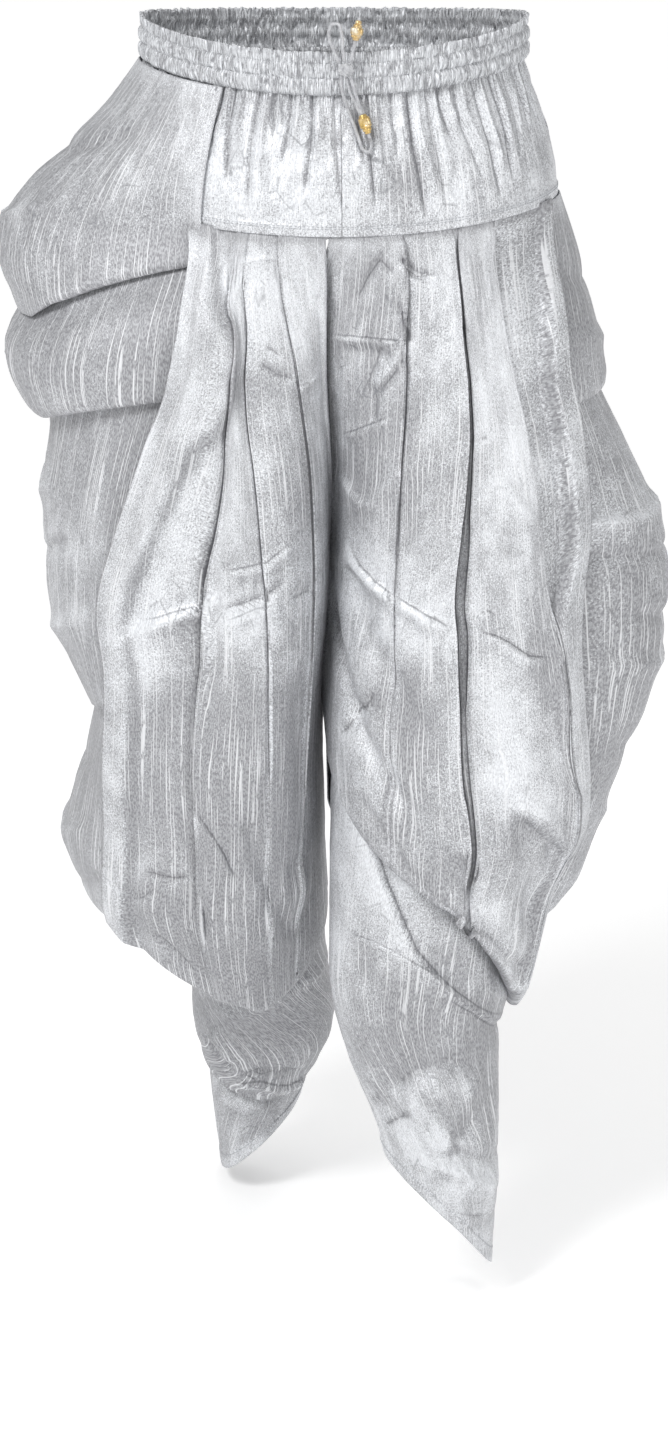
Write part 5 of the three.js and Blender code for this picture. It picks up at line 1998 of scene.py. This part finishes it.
@dataclass(frozen=True)
class StudioPaper:
    """The plain pale paper that the garment is shown on, which glows with painted light, more towards its far
    end.
    """

    pale: Colour = (0.95, 0.95, 0.95, 1.0)
    dull: Colour = (0.92, 0.92, 0.92, 1.0)
    glow_near: Colour = (0.32, 0.32, 0.32, 1.0)
    glow_far: Colour = (0.62, 0.62, 0.62, 1.0)
    reach: float = 6.0

    def material(self) -> bpy.types.Material:
        """Its material, with a faint cloudiness and a painted glow, dimmer near the middle and brighter far
        off.

        Returns:
            The material.
        """
        made = Shader("studio_paper")
        place = made.node("ShaderNodeTexCoord", {}, "Object")
        cloud = made.noise(made.stretched(place, 3.0, 3.0), 2.0)
        paper = made.blend(self.dull, self.pale, cloud)
        # painted light: the paper's glow, dimmer near the garment and brighter far off
        ball = made.stretched(place, 1 / self.reach, 1 / self.reach)
        close = made.node("ShaderNodeTexGradient", {"gradient_type": "SPHERICAL"}, "Fac", Vector=ball)
        glow = made.blend(self.glow_far, self.glow_near, close.over(0.1, 0.9))
        return made.finish(Base_Color=paper, Roughness=0.8, Emission_Color=glow, Emission_Strength=1.0)


@dataclass(frozen=True)
class Studio:
    """A floor of pale paper, soft lights and the camera."""

    floor_level: float = -0.985
    camera_place: tuple[float, float, float] = (0.0, -3.0, 0.3)
    camera_tilt: float = 74.12
    lens: float = 95.0

    def camera(self) -> None:
        """The camera, level with the waist and a little tilted down."""
        made = bpy.data.cameras.new("camera")
        made.lens = self.lens
        made.sensor_width = 36.0
        placed_camera = bpy.data.objects.new("camera", made)
        placed_camera.location = self.camera_place
        placed_camera.rotation_euler = (math.radians(self.camera_tilt), 0.0, 0.0)
        bpy.context.scene.collection.objects.link(placed_camera)
        bpy.context.scene.camera = placed_camera

    def floor(self) -> None:
        """The paper, level under the garment and wide enough to fill the picture."""
        corners = [(-14.0, -12.0), (14.0, -12.0), (14.0, 24.0), (-14.0, 24.0)]
        mesh = bpy.data.meshes.new("paper_floor")
        mesh.from_pydata([(x, y, self.floor_level) for x, y in corners], [], [(0, 1, 2, 3)])
        mesh.materials.append(StudioPaper().material())
        paper = bpy.data.objects.new("paper_floor", mesh)
        bpy.context.scene.collection.objects.link(paper)

    def light(self, name: str, place: Sequence[float], size: Sequence[float], power: float) -> None:
        """A rectangular soft light that faces the middle of the garment.

        Args:
            name: its name.
            place: where it is.
            size: its width and height.
            power: its power in watts.
        """
        made = bpy.data.lights.new(name, "AREA")
        made.shape = "RECTANGLE"
        made.size, made.size_y = size
        made.energy = power
        lamp = bpy.data.objects.new(name, made)
        lamp.location = place
        way = np.array((0.0, 0.0, -0.45)) - np.array(place)
        turn = math.atan2(way[1], way[0]) - math.pi / 2
        lift = math.atan2(way[2], math.hypot(way[0], way[1]))
        lamp.rotation_euler = (math.pi / 2 + lift, 0.0, turn)
        bpy.context.scene.collection.objects.link(lamp)

    def build(self) -> None:
        """Sets up the paper, the lights and the even white surroundings."""
        self.floor()
        self.light("key", (-1.4, -1.9, 1.9), (0.9, 1.2), 60.0)
        self.light("fill", (1.9, -2.0, 0.3), (0.8, 1.6), 16.0)
        self.light("rim", (0.6, 1.8, 1.6), (1.6, 0.8), 16.0)
        world = bpy.data.worlds.new("surroundings")
        world.use_nodes = True
        back = world.node_tree.nodes["Background"]
        back.inputs["Color"].default_value = (1.0, 1.0, 1.0, 1.0)
        back.inputs["Strength"].default_value = 0.42
        bpy.context.scene.world = world
        bpy.context.scene.view_settings.view_transform = "Standard"


FINISHES = {
    "cloth": SlubSilk(),
    "thread": SewingThread(),
    "cord": SoftCord(),
    "bead_upper": BeadMetal("bead_upper_gilt", (0.62, 0.44, 0.2, 1.0), (0.8, 0.74, 0.6, 1.0), 0.55),
    "bead_lower": BeadMetal("bead_lower_gilt", (0.66, 0.46, 0.17, 1.0), (0.82, 0.66, 0.4, 1.0), 0.8),
}
CORDS = (
    Cord(
        "cord_loop_upper",
        (
            (4.2, -6.4, 4), (1, 1, 3.6), (-2.4, 9, 2.4), (-3.9, 16, 1.4), (-1.6, 22, 1), (3.2, 22.4, 1),
            (5.4, 16, 1.6), (6.2, 8, 2.6), (7, 0, 3.6), (7.8, -5.4, 4),
        ),
    ),
    Cord(
        "cord_end_upper",
        ((12, -6.2, 4), (13.4, -1, 3.8), (14.6, 4, 3.4), (15.8, 10, 3.4), (18.8, 28, 3.4)),
        "bead_upper",
        0.5,
    ),
    Cord(
        "cord_end_lower",
        (
            (12.4, -15.5, 4.6), (14.2, -22, 5.4), (16.6, -30, 6.2), (18.8, -37, 6.6), (20.9, -43, 7),
            (26.7, -61, 7),
        ),
        "bead_lower",
        0.62,
    ),
    Cord(
        "cord_loop_lower",
        (
            (5.4, -15.6, 3.4), (5.6, -24, 2), (9.6, -38, 0), (15, -52, 0), (19.2, -64, 0), (21.8, -70, 0),
            (26, -71.6, 0), (28, -67, 0), (24.6, -56, 0), (18.6, -42, 0), (12.4, -28, 1.4), (9.2, -16.6, 3.2),
        ),
    ),
)
# In each drape below: its creases, its crumple patches, its patches of painted light (painted shade where
# below 0), then its crumple and, where given, a painted lightening or darkening of the whole piece.
FRONT_LEFT_DRAPE = Drape(
    creases(
        (6, -2.8, 2.5, 17, -182, 25, -165, 35, -151, 47, -164),
        (9, 3.6, 1.6, -1, -211, 10, -211, 19, -211, 37, -212, 54, -213),
        (8, -3.2, 0, 5, -223, 20, -220, 46, -222), (4, -2.2, 1.5, 35, -213, 32, -226, 26, -243, 22, -253),
        (6, 2.6, 2.5, 55, -215, 49, -225, 43, -235, 32, -250), (4, -1.8, 1.6, 29, -246, 32, -259, 31, -277),
        (6, 2.4, 2, 7, -293, 17, -287, 25, -282, 43, -272),
        (4, -2.0, 1.6, 51, -148, 56, -155, 63, -161, 77, -164), (5, 2.0, 2, 50, -154, 57, -167, 68, -170),
        (4, -2.0, 1.8, 47, -179, 50, -188, 54, -196, 58, -216),
        (9, 2.6, 4, -1, -328, 9, -331, 19, -342, 28, -343, 37, -330, 49, -315, 65, -306),
        (11, 4.6, 3, 9, -379, 19, -394, 31, -404, 45, -412, 66, -422, 89, -433),
        (12, -2.6, 0, 9, -393, 22, -411, 47, -427, 81, -441), (3, -1.4, 0, 96, -200, 100, -202, 103, -207),
        (3, -1.3, 0, 106, -287, 111, -285, 117, -283), (14, -2.2, 0, 65, -310, 60, -349, 57, -388),
        (4, 2.0, 2, 108, -431, 111, -423, 115, -418, 122, -421),
        (8, 3.0, 3, 108, -435, 120, -438, 130, -443, 148, -457, 169, -461),
        (9, -1.8, 0, 108, -379, 127, -374, 150, -378), (9, 1.8, 4, 126, -310, 138, -334, 158, -352),
        (6, -1.4, 0, 111, -336, 127, -356, 148, -366),
        (5, -2.6, 2, 5, -529, 10, -523, 15, -515, 24, -500, 31, -487),
        (4, -2.2, 2, 117, -520, 121, -530, 120, -546, 120, -562),
        (8, -5.0, 5, 135, -589, 146, -586, 157, -595, 170, -608, 191, -644),
        (9, 3.0, 0, 128, -571, 147, -571, 167, -586, 193, -630),
        (5, -2.6, 2, 109, -631, 114, -625, 118, -617, 118, -605),
        (22, 3.0, 0, 14, -498, 25, -530, 40, -562, 59, -598, 82, -632),
        (14, 2.6, 0, 111, -487, 112, -518, 128, -550, 140, -567),
        (10, -2.2, 0, 54, -490, 57, -528, 66, -566, 74, -589),
        (
            8, -3.2, 3.5, 16, -563, 31, -584, 46, -606, 61, -624, 78, -642, 100, -661, 124, -685, 148,
            -713, 167, -735,
        ),
        (12, 2.2, 0, 78, -628, 106, -648, 130, -669, 162, -718),
        (8, -1.8, 0, 100, -604, 105, -628, 129, -656),
        (4, -1.6, 1.5, 156, -202, 162, -213, 170, -227, 174, -244),
    ),
    patches(
        (30, -225, 45, 70, 0.6), (55, -430, 60, 50, 0.4), (140, -440, 45, 45, 0.25),
        (120, -600, 70, 45, 0.2),
    ),
    patches(
        (28, -185, 26, 40, -0.25), (35, -310, 34, 50, -0.3), (50, -415, 40, 42, 0.35),
        (75, -190, 20, 60, 0.2), (130, -290, 30, 120, 0.25), (55, -520, 26, 60, -0.35),
        (22, -520, 14, 60, 0.05), (135, -535, 36, 50, 0.35), (90, -620, 60, 40, -0.2),
        (175, -440, 20, 60, -0.3),
    ),
    0.14, -0.1,
)
FRONT_RIGHT_DRAPE = Drape(
    creases(
        (3, 1.2, 0, -72, -156, -54, -152, -42, -153), (3, -1.4, 0, -51, -216, -45, -219, -39, -224),
        (5, -2.0, 2, -55, -228, -43, -237, -30, -242), (4, 1.6, 1.5, -27, -250, -19, -246, -12, -238),
        (11, -2.2, 0, -114, -244, -91, -241, -66, -243), (4, 1.5, 1.5, -122, -246, -118, -248, -114, -251),
        (7, 2.4, 3, -82, -390, -67, -388, -50, -385, -30, -370),
        (8, 2.6, 3, -145, -432, -120, -423, -96, -416, -88, -404),
        (4, -1.8, 2, -86, -417, -68, -413, -52, -408, -38, -399),
        (6, 2.0, 2.5, -82, -429, -60, -421, -45, -420),
        (12, 3.8, 5, -178, -452, -157, -440, -137, -432, -110, -421, -94, -414),
        (7, 3.0, 1.6, -111, -585, -104, -595, -98, -605, -88, -625, -80, -649),
        (5, -2.4, 2.5, -150, -645, -141, -648, -130, -650, -121, -649, -114, -646),
        (4, -1.6, 0, -160, -675, -150, -666, -141, -659),
        (14, -3.0, 0, -147, -677, -115, -684, -79, -694, -43, -690),
        (5, -2.4, 2, -148, -704, -136, -715, -125, -727, -111, -746),
        (13, 2.4, 0, -57, -652, -67, -689, -76, -725), (12, -2.6, 0, -27, -633, -31, -678, -41, -719),
        (13, -2.0, 0, -128, -493, -136, -544, -138, -596), (15, 2.2, 0, -55, -444, -51, -511, -56, -570),
        (10, -1.8, 0, -26, -467, -26, -528, -21, -593), (4, -1.5, 0, -32, -415, -22, -412, -12, -414),
    ),
    patches(
        (-60, -160, 60, 30, 0.35), (-60, -420, 60, 45, 0.35), (-120, -430, 40, 35, 0.3),
        (-70, -700, 80, 30, 0.2),
    ),
    patches(
        (-60, -180, 60, 50, 0.3), (-70, -246, 40, 14, -0.3), (-110, -340, 50, 60, 0.25),
        (-40, -360, 30, 60, -0.2), (-60, -420, 30, 22, 0.35), (-150, -430, 26, 40, 0.3),
        (-70, -570, 90, 90, -0.42), (-70, -700, 90, 60, -0.4), (-72, -764, 70, 34, -0.35),
    ),
    0.12, -0.08,
)
BACK_DRAPE = Drape(
    creases(
        (10, -2.6, 0, -150, -300, -90, -318, -40, -296),
        (9, 3.2, 4, -160, -392, -100, -412, -52, -398, -22, -408),
        (8, -2.2, 0, -140, -425, -96, -438, -50, -430), (13, 1.8, 0, -36, -196, -44, -260, -38, -330),
        (11, -1.8, 0, -118, -180, -124, -236, -112, -290), (15, 2.2, 0, -70, -470, -60, -540, -70, -600),
        (13, -2.6, 0, -130, -500, -112, -560, -96, -640), (10, -2.0, 0, -24, -500, -40, -570, -70, -650),
        (5, -1.6, 0, -60, -228, -40, -238, -20, -230), (10, 2.4, 5, -120, -640, -80, -662, -34, -650),
    ),
    patches((-70, -410, 70, 60, 0.3), (-60, -170, 60, 30, 0.25)),
    patches((-60, -180, 60, 60, 0.12), (-80, -400, 60, 60, 0.16), (-60, -560, 70, 90, -0.1)),
    0.12,
)
BACK_PLEATS = (
    Pleat((5, 4, 0), shares=(0.22, 0.22, 0.24)),
    Pleat((5, 5, 2), shares=(0.42, 0.41, 0.42)),
    Pleat((5, 5, 2), shares=(0.62, 0.6, 0.6)),
)
BACK_FOLDS = ((0.15, 0.7, 0.8, 0.86, 18.0, 7.0), (0.3, 0.56, 0.85, 0.72, 16.0, 5.0))
LEG_PANELS = (
    LegPanel(
        "leg_front_left",
        Side.LEFT,
        Facing.FRONT,
        (
            Pleat((5, 2, 0), (50, 52, 52, 50, 48, 46, 44, 42, 42, 44)),
            Pleat((5, 7, 3), (88, 93, 96.5, 95.5, 92, 91, 92, 95, 100, 107)),
            Pleat((-2, -7, -3), (94, 98, 101, 104, 106, 106, 106, 104, 108, 116)),
            Pleat((5, 6, 2), (120, 125, 134, 144, 156, 165, 171, 178, 180, 180)),
        ),
        (
            (0.1, 0.72, 0.72, 1.02, 14.0, 7.0), (0.22, 0.6, 0.86, 0.9, 16.0, 5.0),
            (0.6, 0.78, 0.9, 0.72, 16.0, -5.0),
        ),
        -545.0, -752.0, -10.0, 241, 28, (0.42, 0.64), 0.2, FRONT_LEFT_DRAPE,
    ),
    LegPanel(
        "leg_front_right",
        Side.RIGHT,
        Facing.FRONT,
        (
            Pleat((4, 2, 0), (41, 34, 26, 20, 16, 16, 18, 22, 26, 30)),
            Pleat((3, 2, 0), (64, 64.5, 64.5, 60, 54, 50.5, 50, 50, 50, 50)),
            Pleat((5, 7, 5), (73, 73.5, 74.5, 77, 83.5, 89.5, 95, 105, 104, 98)),
        ),
        ((0.3, 0.86, 0.8, 0.9, 20.0, -6.0), (0.55, 0.74, 0.4, 0.88, 12.0, 4.0)),
        -706.0, -706.0, 76.0, 241, 36, (0.36, 0.64), 0.185, FRONT_RIGHT_DRAPE, 1.15,
    ),
    LegPanel(
        "leg_back_left", Side.LEFT, Facing.BACK, BACK_PLEATS, BACK_FOLDS,
        -600.0, -690.0, 34.0, 171, 26, (0.36, 0.6), 0.172, BACK_DRAPE.shifted(-1.0, -8.0, 0.9),
    ),
    LegPanel(
        "leg_back_right", Side.RIGHT, Facing.BACK, BACK_PLEATS, BACK_FOLDS,
        -700.0, -716.0, 50.0, 181, 26, (0.34, 0.62), 0.17, BACK_DRAPE,
    ),
)
RIGHT_SIDE_DRAPE = Drape(
    creases(
        (8, -2.6, 4, -120, -200, -60, -186, 0, -196, 70, -184), (11, -3.0, 5, -80, -60, -20, -84, 50, -74),
        (10, 3.2, 4, -60, -120, 0, -138, 80, -124), (9, 3.0, 4, -90, -330, -20, -352, 60, -336),
        (8, -3.0, 4, -110, -372, -40, -396, 30, -388), (6, -2.0, 3, -80, -300, -40, -304, 20, -316),
        (12, 3.6, 6, -120, -430, -60, -452, 20, -470, 90, -452),
        (12, -3.4, 0, -40, -560, 30, -590, 100, -576), (12, 3.2, 6, -60, -620, 20, -650, 100, -640),
        (8, -2.4, 0, -70, -660, 0, -690, 80, -684), (6, 2.0, 0, -20, -240, 30, -252, 90, -244),
    ),
    patches((-40, -190, 90, 60, 0.4), (-40, -380, 90, 60, 0.3), (0, -90, 90, 50, 0.35)),
    patches((-60, -250, 120, 90, -0.25), (-60, -560, 160, 90, -0.3), (-60, -370, 90, 50, 0.15)),
    0.2, -0.2,
)
LEFT_SIDE_DRAPE = Drape(
    creases(
        (9, 3.0, 4, -110, -360, -40, -372, 40, -362), (8, -2.8, 4, -110, -385, -30, -400, 50, -392),
        (10, -3.0, 5, -90, -436, -20, -452, 60, -440), (12, 3.0, 6, -120, -470, -40, -488, 40, -480),
        (12, -2.8, 0, -100, -540, -30, -560, 50, -548), (12, 2.6, 6, -90, -600, -20, -612, 50, -604),
        (9, -2.2, 0, -70, -170, -10, -186, 60, -178), (9, 2.4, 5, -80, -220, 0, -232, 70, -226),
    ),
    patches((-40, -420, 90, 70, 0.35)),
    patches((-40, -200, 90, 60, -0.25), (-40, -360, 80, 40, 0.1), (-40, -520, 120, 90, -0.25)),
    0.16, -0.2,
)
SIDE_PANELS = (
    SidePanel(
        "side_panel_right",
        Side.RIGHT,
        True,
        (
            Cowl(
                (-150, -200, -199, -170), 6, 5,
                ((-24, 152), (-48, 176), (-84, 213), (-139, 260), (-176, 261), (-206, 247)),
            ),
            Cowl(
                (-250, -278, -276, -262), 8, 3,
                ((-150, 225), (-190, 238), (-232, 259), (-262, 252), (-288, 236)),
            ),
            Cowl(
                (-500, -512, -508, -500), 10, 4,
                ((-240, 212), (-290, 224), (-369, 231), (-454, 225), (-490, 210), (-515, 199)),
            ),
            Cowl(
                (-706, -706, -704, -711), 30, 4,
                ((-470, 186), (-530, 192), (-604, 213), (-670, 223), (-696, 214), (-720, 196)),
            ),
        ),
        139, (0.42, 0.92), 0.31, "waistband", RIGHT_SIDE_DRAPE,
    ),
    SidePanel(
        "side_panel_left",
        Side.LEFT,
        False,
        (
            Cowl((-270, -262, -250, -256), 6, 3, ((-110, 177), (-156, 190), (-239, 212), (-266, 217))),
            Cowl(
                (-716, -668, -652, -640), 14, 6,
                (
                    (-230, 197), (-270, 207), (-318, 233), (-367, 255), (-413, 270), (-488, 261),
                    (-539, 246), (-612, 214), (-655, 198),
                ),
            ),
        ),
        141, (0.38, 0.62), 0.165, "yoke_front_left", LEFT_SIDE_DRAPE,
    ),
)
LEFT_SHIN_DRAPE = Drape(
    creases(
        (15, 4.6, 3.0, -9, -547, 6, -570, 25, -601, 39, -640, 62, -691, 86, -718, 110, -742, 140, -770),
        (9, -2.2, 0, 16, -570, 35, -601, 50, -640, 72, -686, 96, -711, 120, -735),
        (5, 2.2, 1.6, 9, -686, 31, -687, 52, -694, 70, -704, 89, -715),
        (13, -4.6, 0, 89, -727, 75, -748, 64, -764, 53, -778, 37, -803),
        (7, -3.6, 3, 89, -728, 107, -742, 130, -766, 143, -781),
        (10, 3.4, 0, 101, -719, 123, -733, 146, -760),
        (8, -3.4, 5, 37, -810, 48, -796, 65, -783, 91, -776, 117, -789),
        (18, 4.0, 0, 56, -817, 72, -806, 95, -801, 115, -813), (9, -2.8, 0, 30, -816, 44, -820, 60, -824),
        (3, -1.8, 1.2, 40, -836, 49, -826, 61, -820), (9, -3.2, 0, 114, -827, 104, -834, 101, -845),
        (7, -2.8, 4, 82, -853, 99, -850, 121, -863, 135, -871), (9, 2.4, 0, 72, -839, 83, -844, 95, -845),
        (8, 3.0, 4, 57, -856, 76, -859, 103, -870, 135, -893), (8, -2.4, 0, 77, -876, 93, -870, 107, -880),
        (4, 2.2, 1.5, 84, -896, 93, -899, 103, -902, 121, -909),
        (6, -2.2, 0, 108, -916, 118, -915, 128, -923), (12, 1.8, 0, 17, -745, 22, -776, 33, -806),
        (14, -2.0, 0, 13, -709, 36, -723, 67, -732),
    ),
    patches((80, -780, 60, 60, 0.35), (90, -860, 60, 40, 0.35), (40, -640, 40, 50, 0.15)),
    patches(
        (45, -640, 30, 50, 0.3), (85, -850, 34, 45, 0.3), (100, -740, 50, 50, -0.45),
        (40, -760, 40, 60, -0.3), (110, -820, 40, 60, -0.3),
    ),
    0.14,
)
RIGHT_SHIN_DRAPE = Drape(
    creases(
        (8, -3.0, 0, -93, -882, -80, -888, -61, -893, -37, -895),
        (9, 2.0, 0, -96, -904, -76, -903, -54, -900), (6, -1.8, 0, -82, -945, -70, -934, -58, -923),
        (5, 1.4, 2, -80, -931, -72, -922, -65, -924),
    ),
    patches((-60, -900, 50, 40, 0.2)),
    patches((-60, -910, 90, 90, -0.25)),
    0.12,
)
WRAP_DRAPE = Drape(
    creases(
        (10, 5.5, 4, -3, -774, -28, -776, -55, -792, -82, -807, -106, -806),
        (7, -8.0, 3, -112, -836, -102, -841, -95, -852, -88, -864),
        (9, 5.0, 0, -103, -825, -93, -837, -83, -854),
        (6, -5.0, 2.5, -80, -867, -61, -861, -46, -861, -25, -867),
        (7, 4.6, 3, -84, -878, -61, -874, -42, -881, -20, -881),
        (6, -2.2, 0, -94, -891, -75, -887, -61, -886), (18, 1.6, 0, -16, -790, -24, -820, -37, -846),
    ),
    patches((-60, -840, 60, 40, 0.25)),
    patches((-60, -820, 120, 60, -0.55), (-60, -880, 90, 24, -0.3)),
    0.12,
)
LOWER_LEGS = (
    LowerLeg(
        "lower_leg_left", Side.LEFT, -520.0, -868.0, -962.0, 200, 161, -0.22, (0.48, 0.44), 0.18,
        LEFT_SHIN_DRAPE,
    ),
    LowerLeg(
        "lower_leg_right", Side.RIGHT, -640.0, -902.0, -972.0, 150, 111, 0.22, (0.45, 0.33), 0.12,
        RIGHT_SHIN_DRAPE,
    ),
)
YOKE_DRAPE = Drape(
    (),
    patches((0, -70, 70, 40, 0.3), (20, -60, 40, 30, 0.2)),
    patches(
        (-70, -80, 50, 40, 0.2), (-30, -100, 50, 22, 0.15), (80, -60, 40, 30, 0.15),
        (55, -88, 18, 18, -0.35),
    ),
    0.3, 0.04,
)
SEAM_ANGLE = -math.pi / 2 + CENTRE_FRONT / HIP_WIDE
BACK_ANGLE = math.pi / 2
GAP = 0.0012  # half the gap between two quarters of the yoke, as an angle
YOKES = (
    YokeQuarter("yoke_front_left", SEAM_ANGLE + GAP, -GAP, 201, 81, 14, 101, YOKE_DRAPE),
    YokeQuarter("yoke_front_right", -math.pi + GAP, SEAM_ANGLE - GAP, 201, 81, 15, 103, YOKE_DRAPE),
    YokeQuarter("yoke_back_left", GAP, BACK_ANGLE - GAP, 151, 61, 12, 105, YOKE_DRAPE),
    YokeQuarter("yoke_back_right", BACK_ANGLE + GAP, math.pi - GAP, 151, 61, 12, 107, YOKE_DRAPE),
)


def main() -> None:
    """Builds the studio, the drawstring and each piece of cloth in order."""
    logging.basicConfig(level=logging.INFO, format="%(message)s")
    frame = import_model()
    studio = Studio()
    studio.camera()
    maker = MeshMaker({name: finish.material() for name, finish in FINISHES.items()})
    Drawstring(CORDS).build(maker)
    Waistband().build(maker)
    for part in (*YOKES, *LEG_PANELS, *SIDE_PANELS, *LOWER_LEGS):
        part.build(maker)
    CalfWrap("calf_wrap_right", WRAP_DRAPE, (0.46, 0.2), 0.083).build(maker)
    studio.build()
    LOG.info("%d triangles in all, frame %s", maker.triangles, type(frame).__name__)


if __name__ == "__main__":
    main()
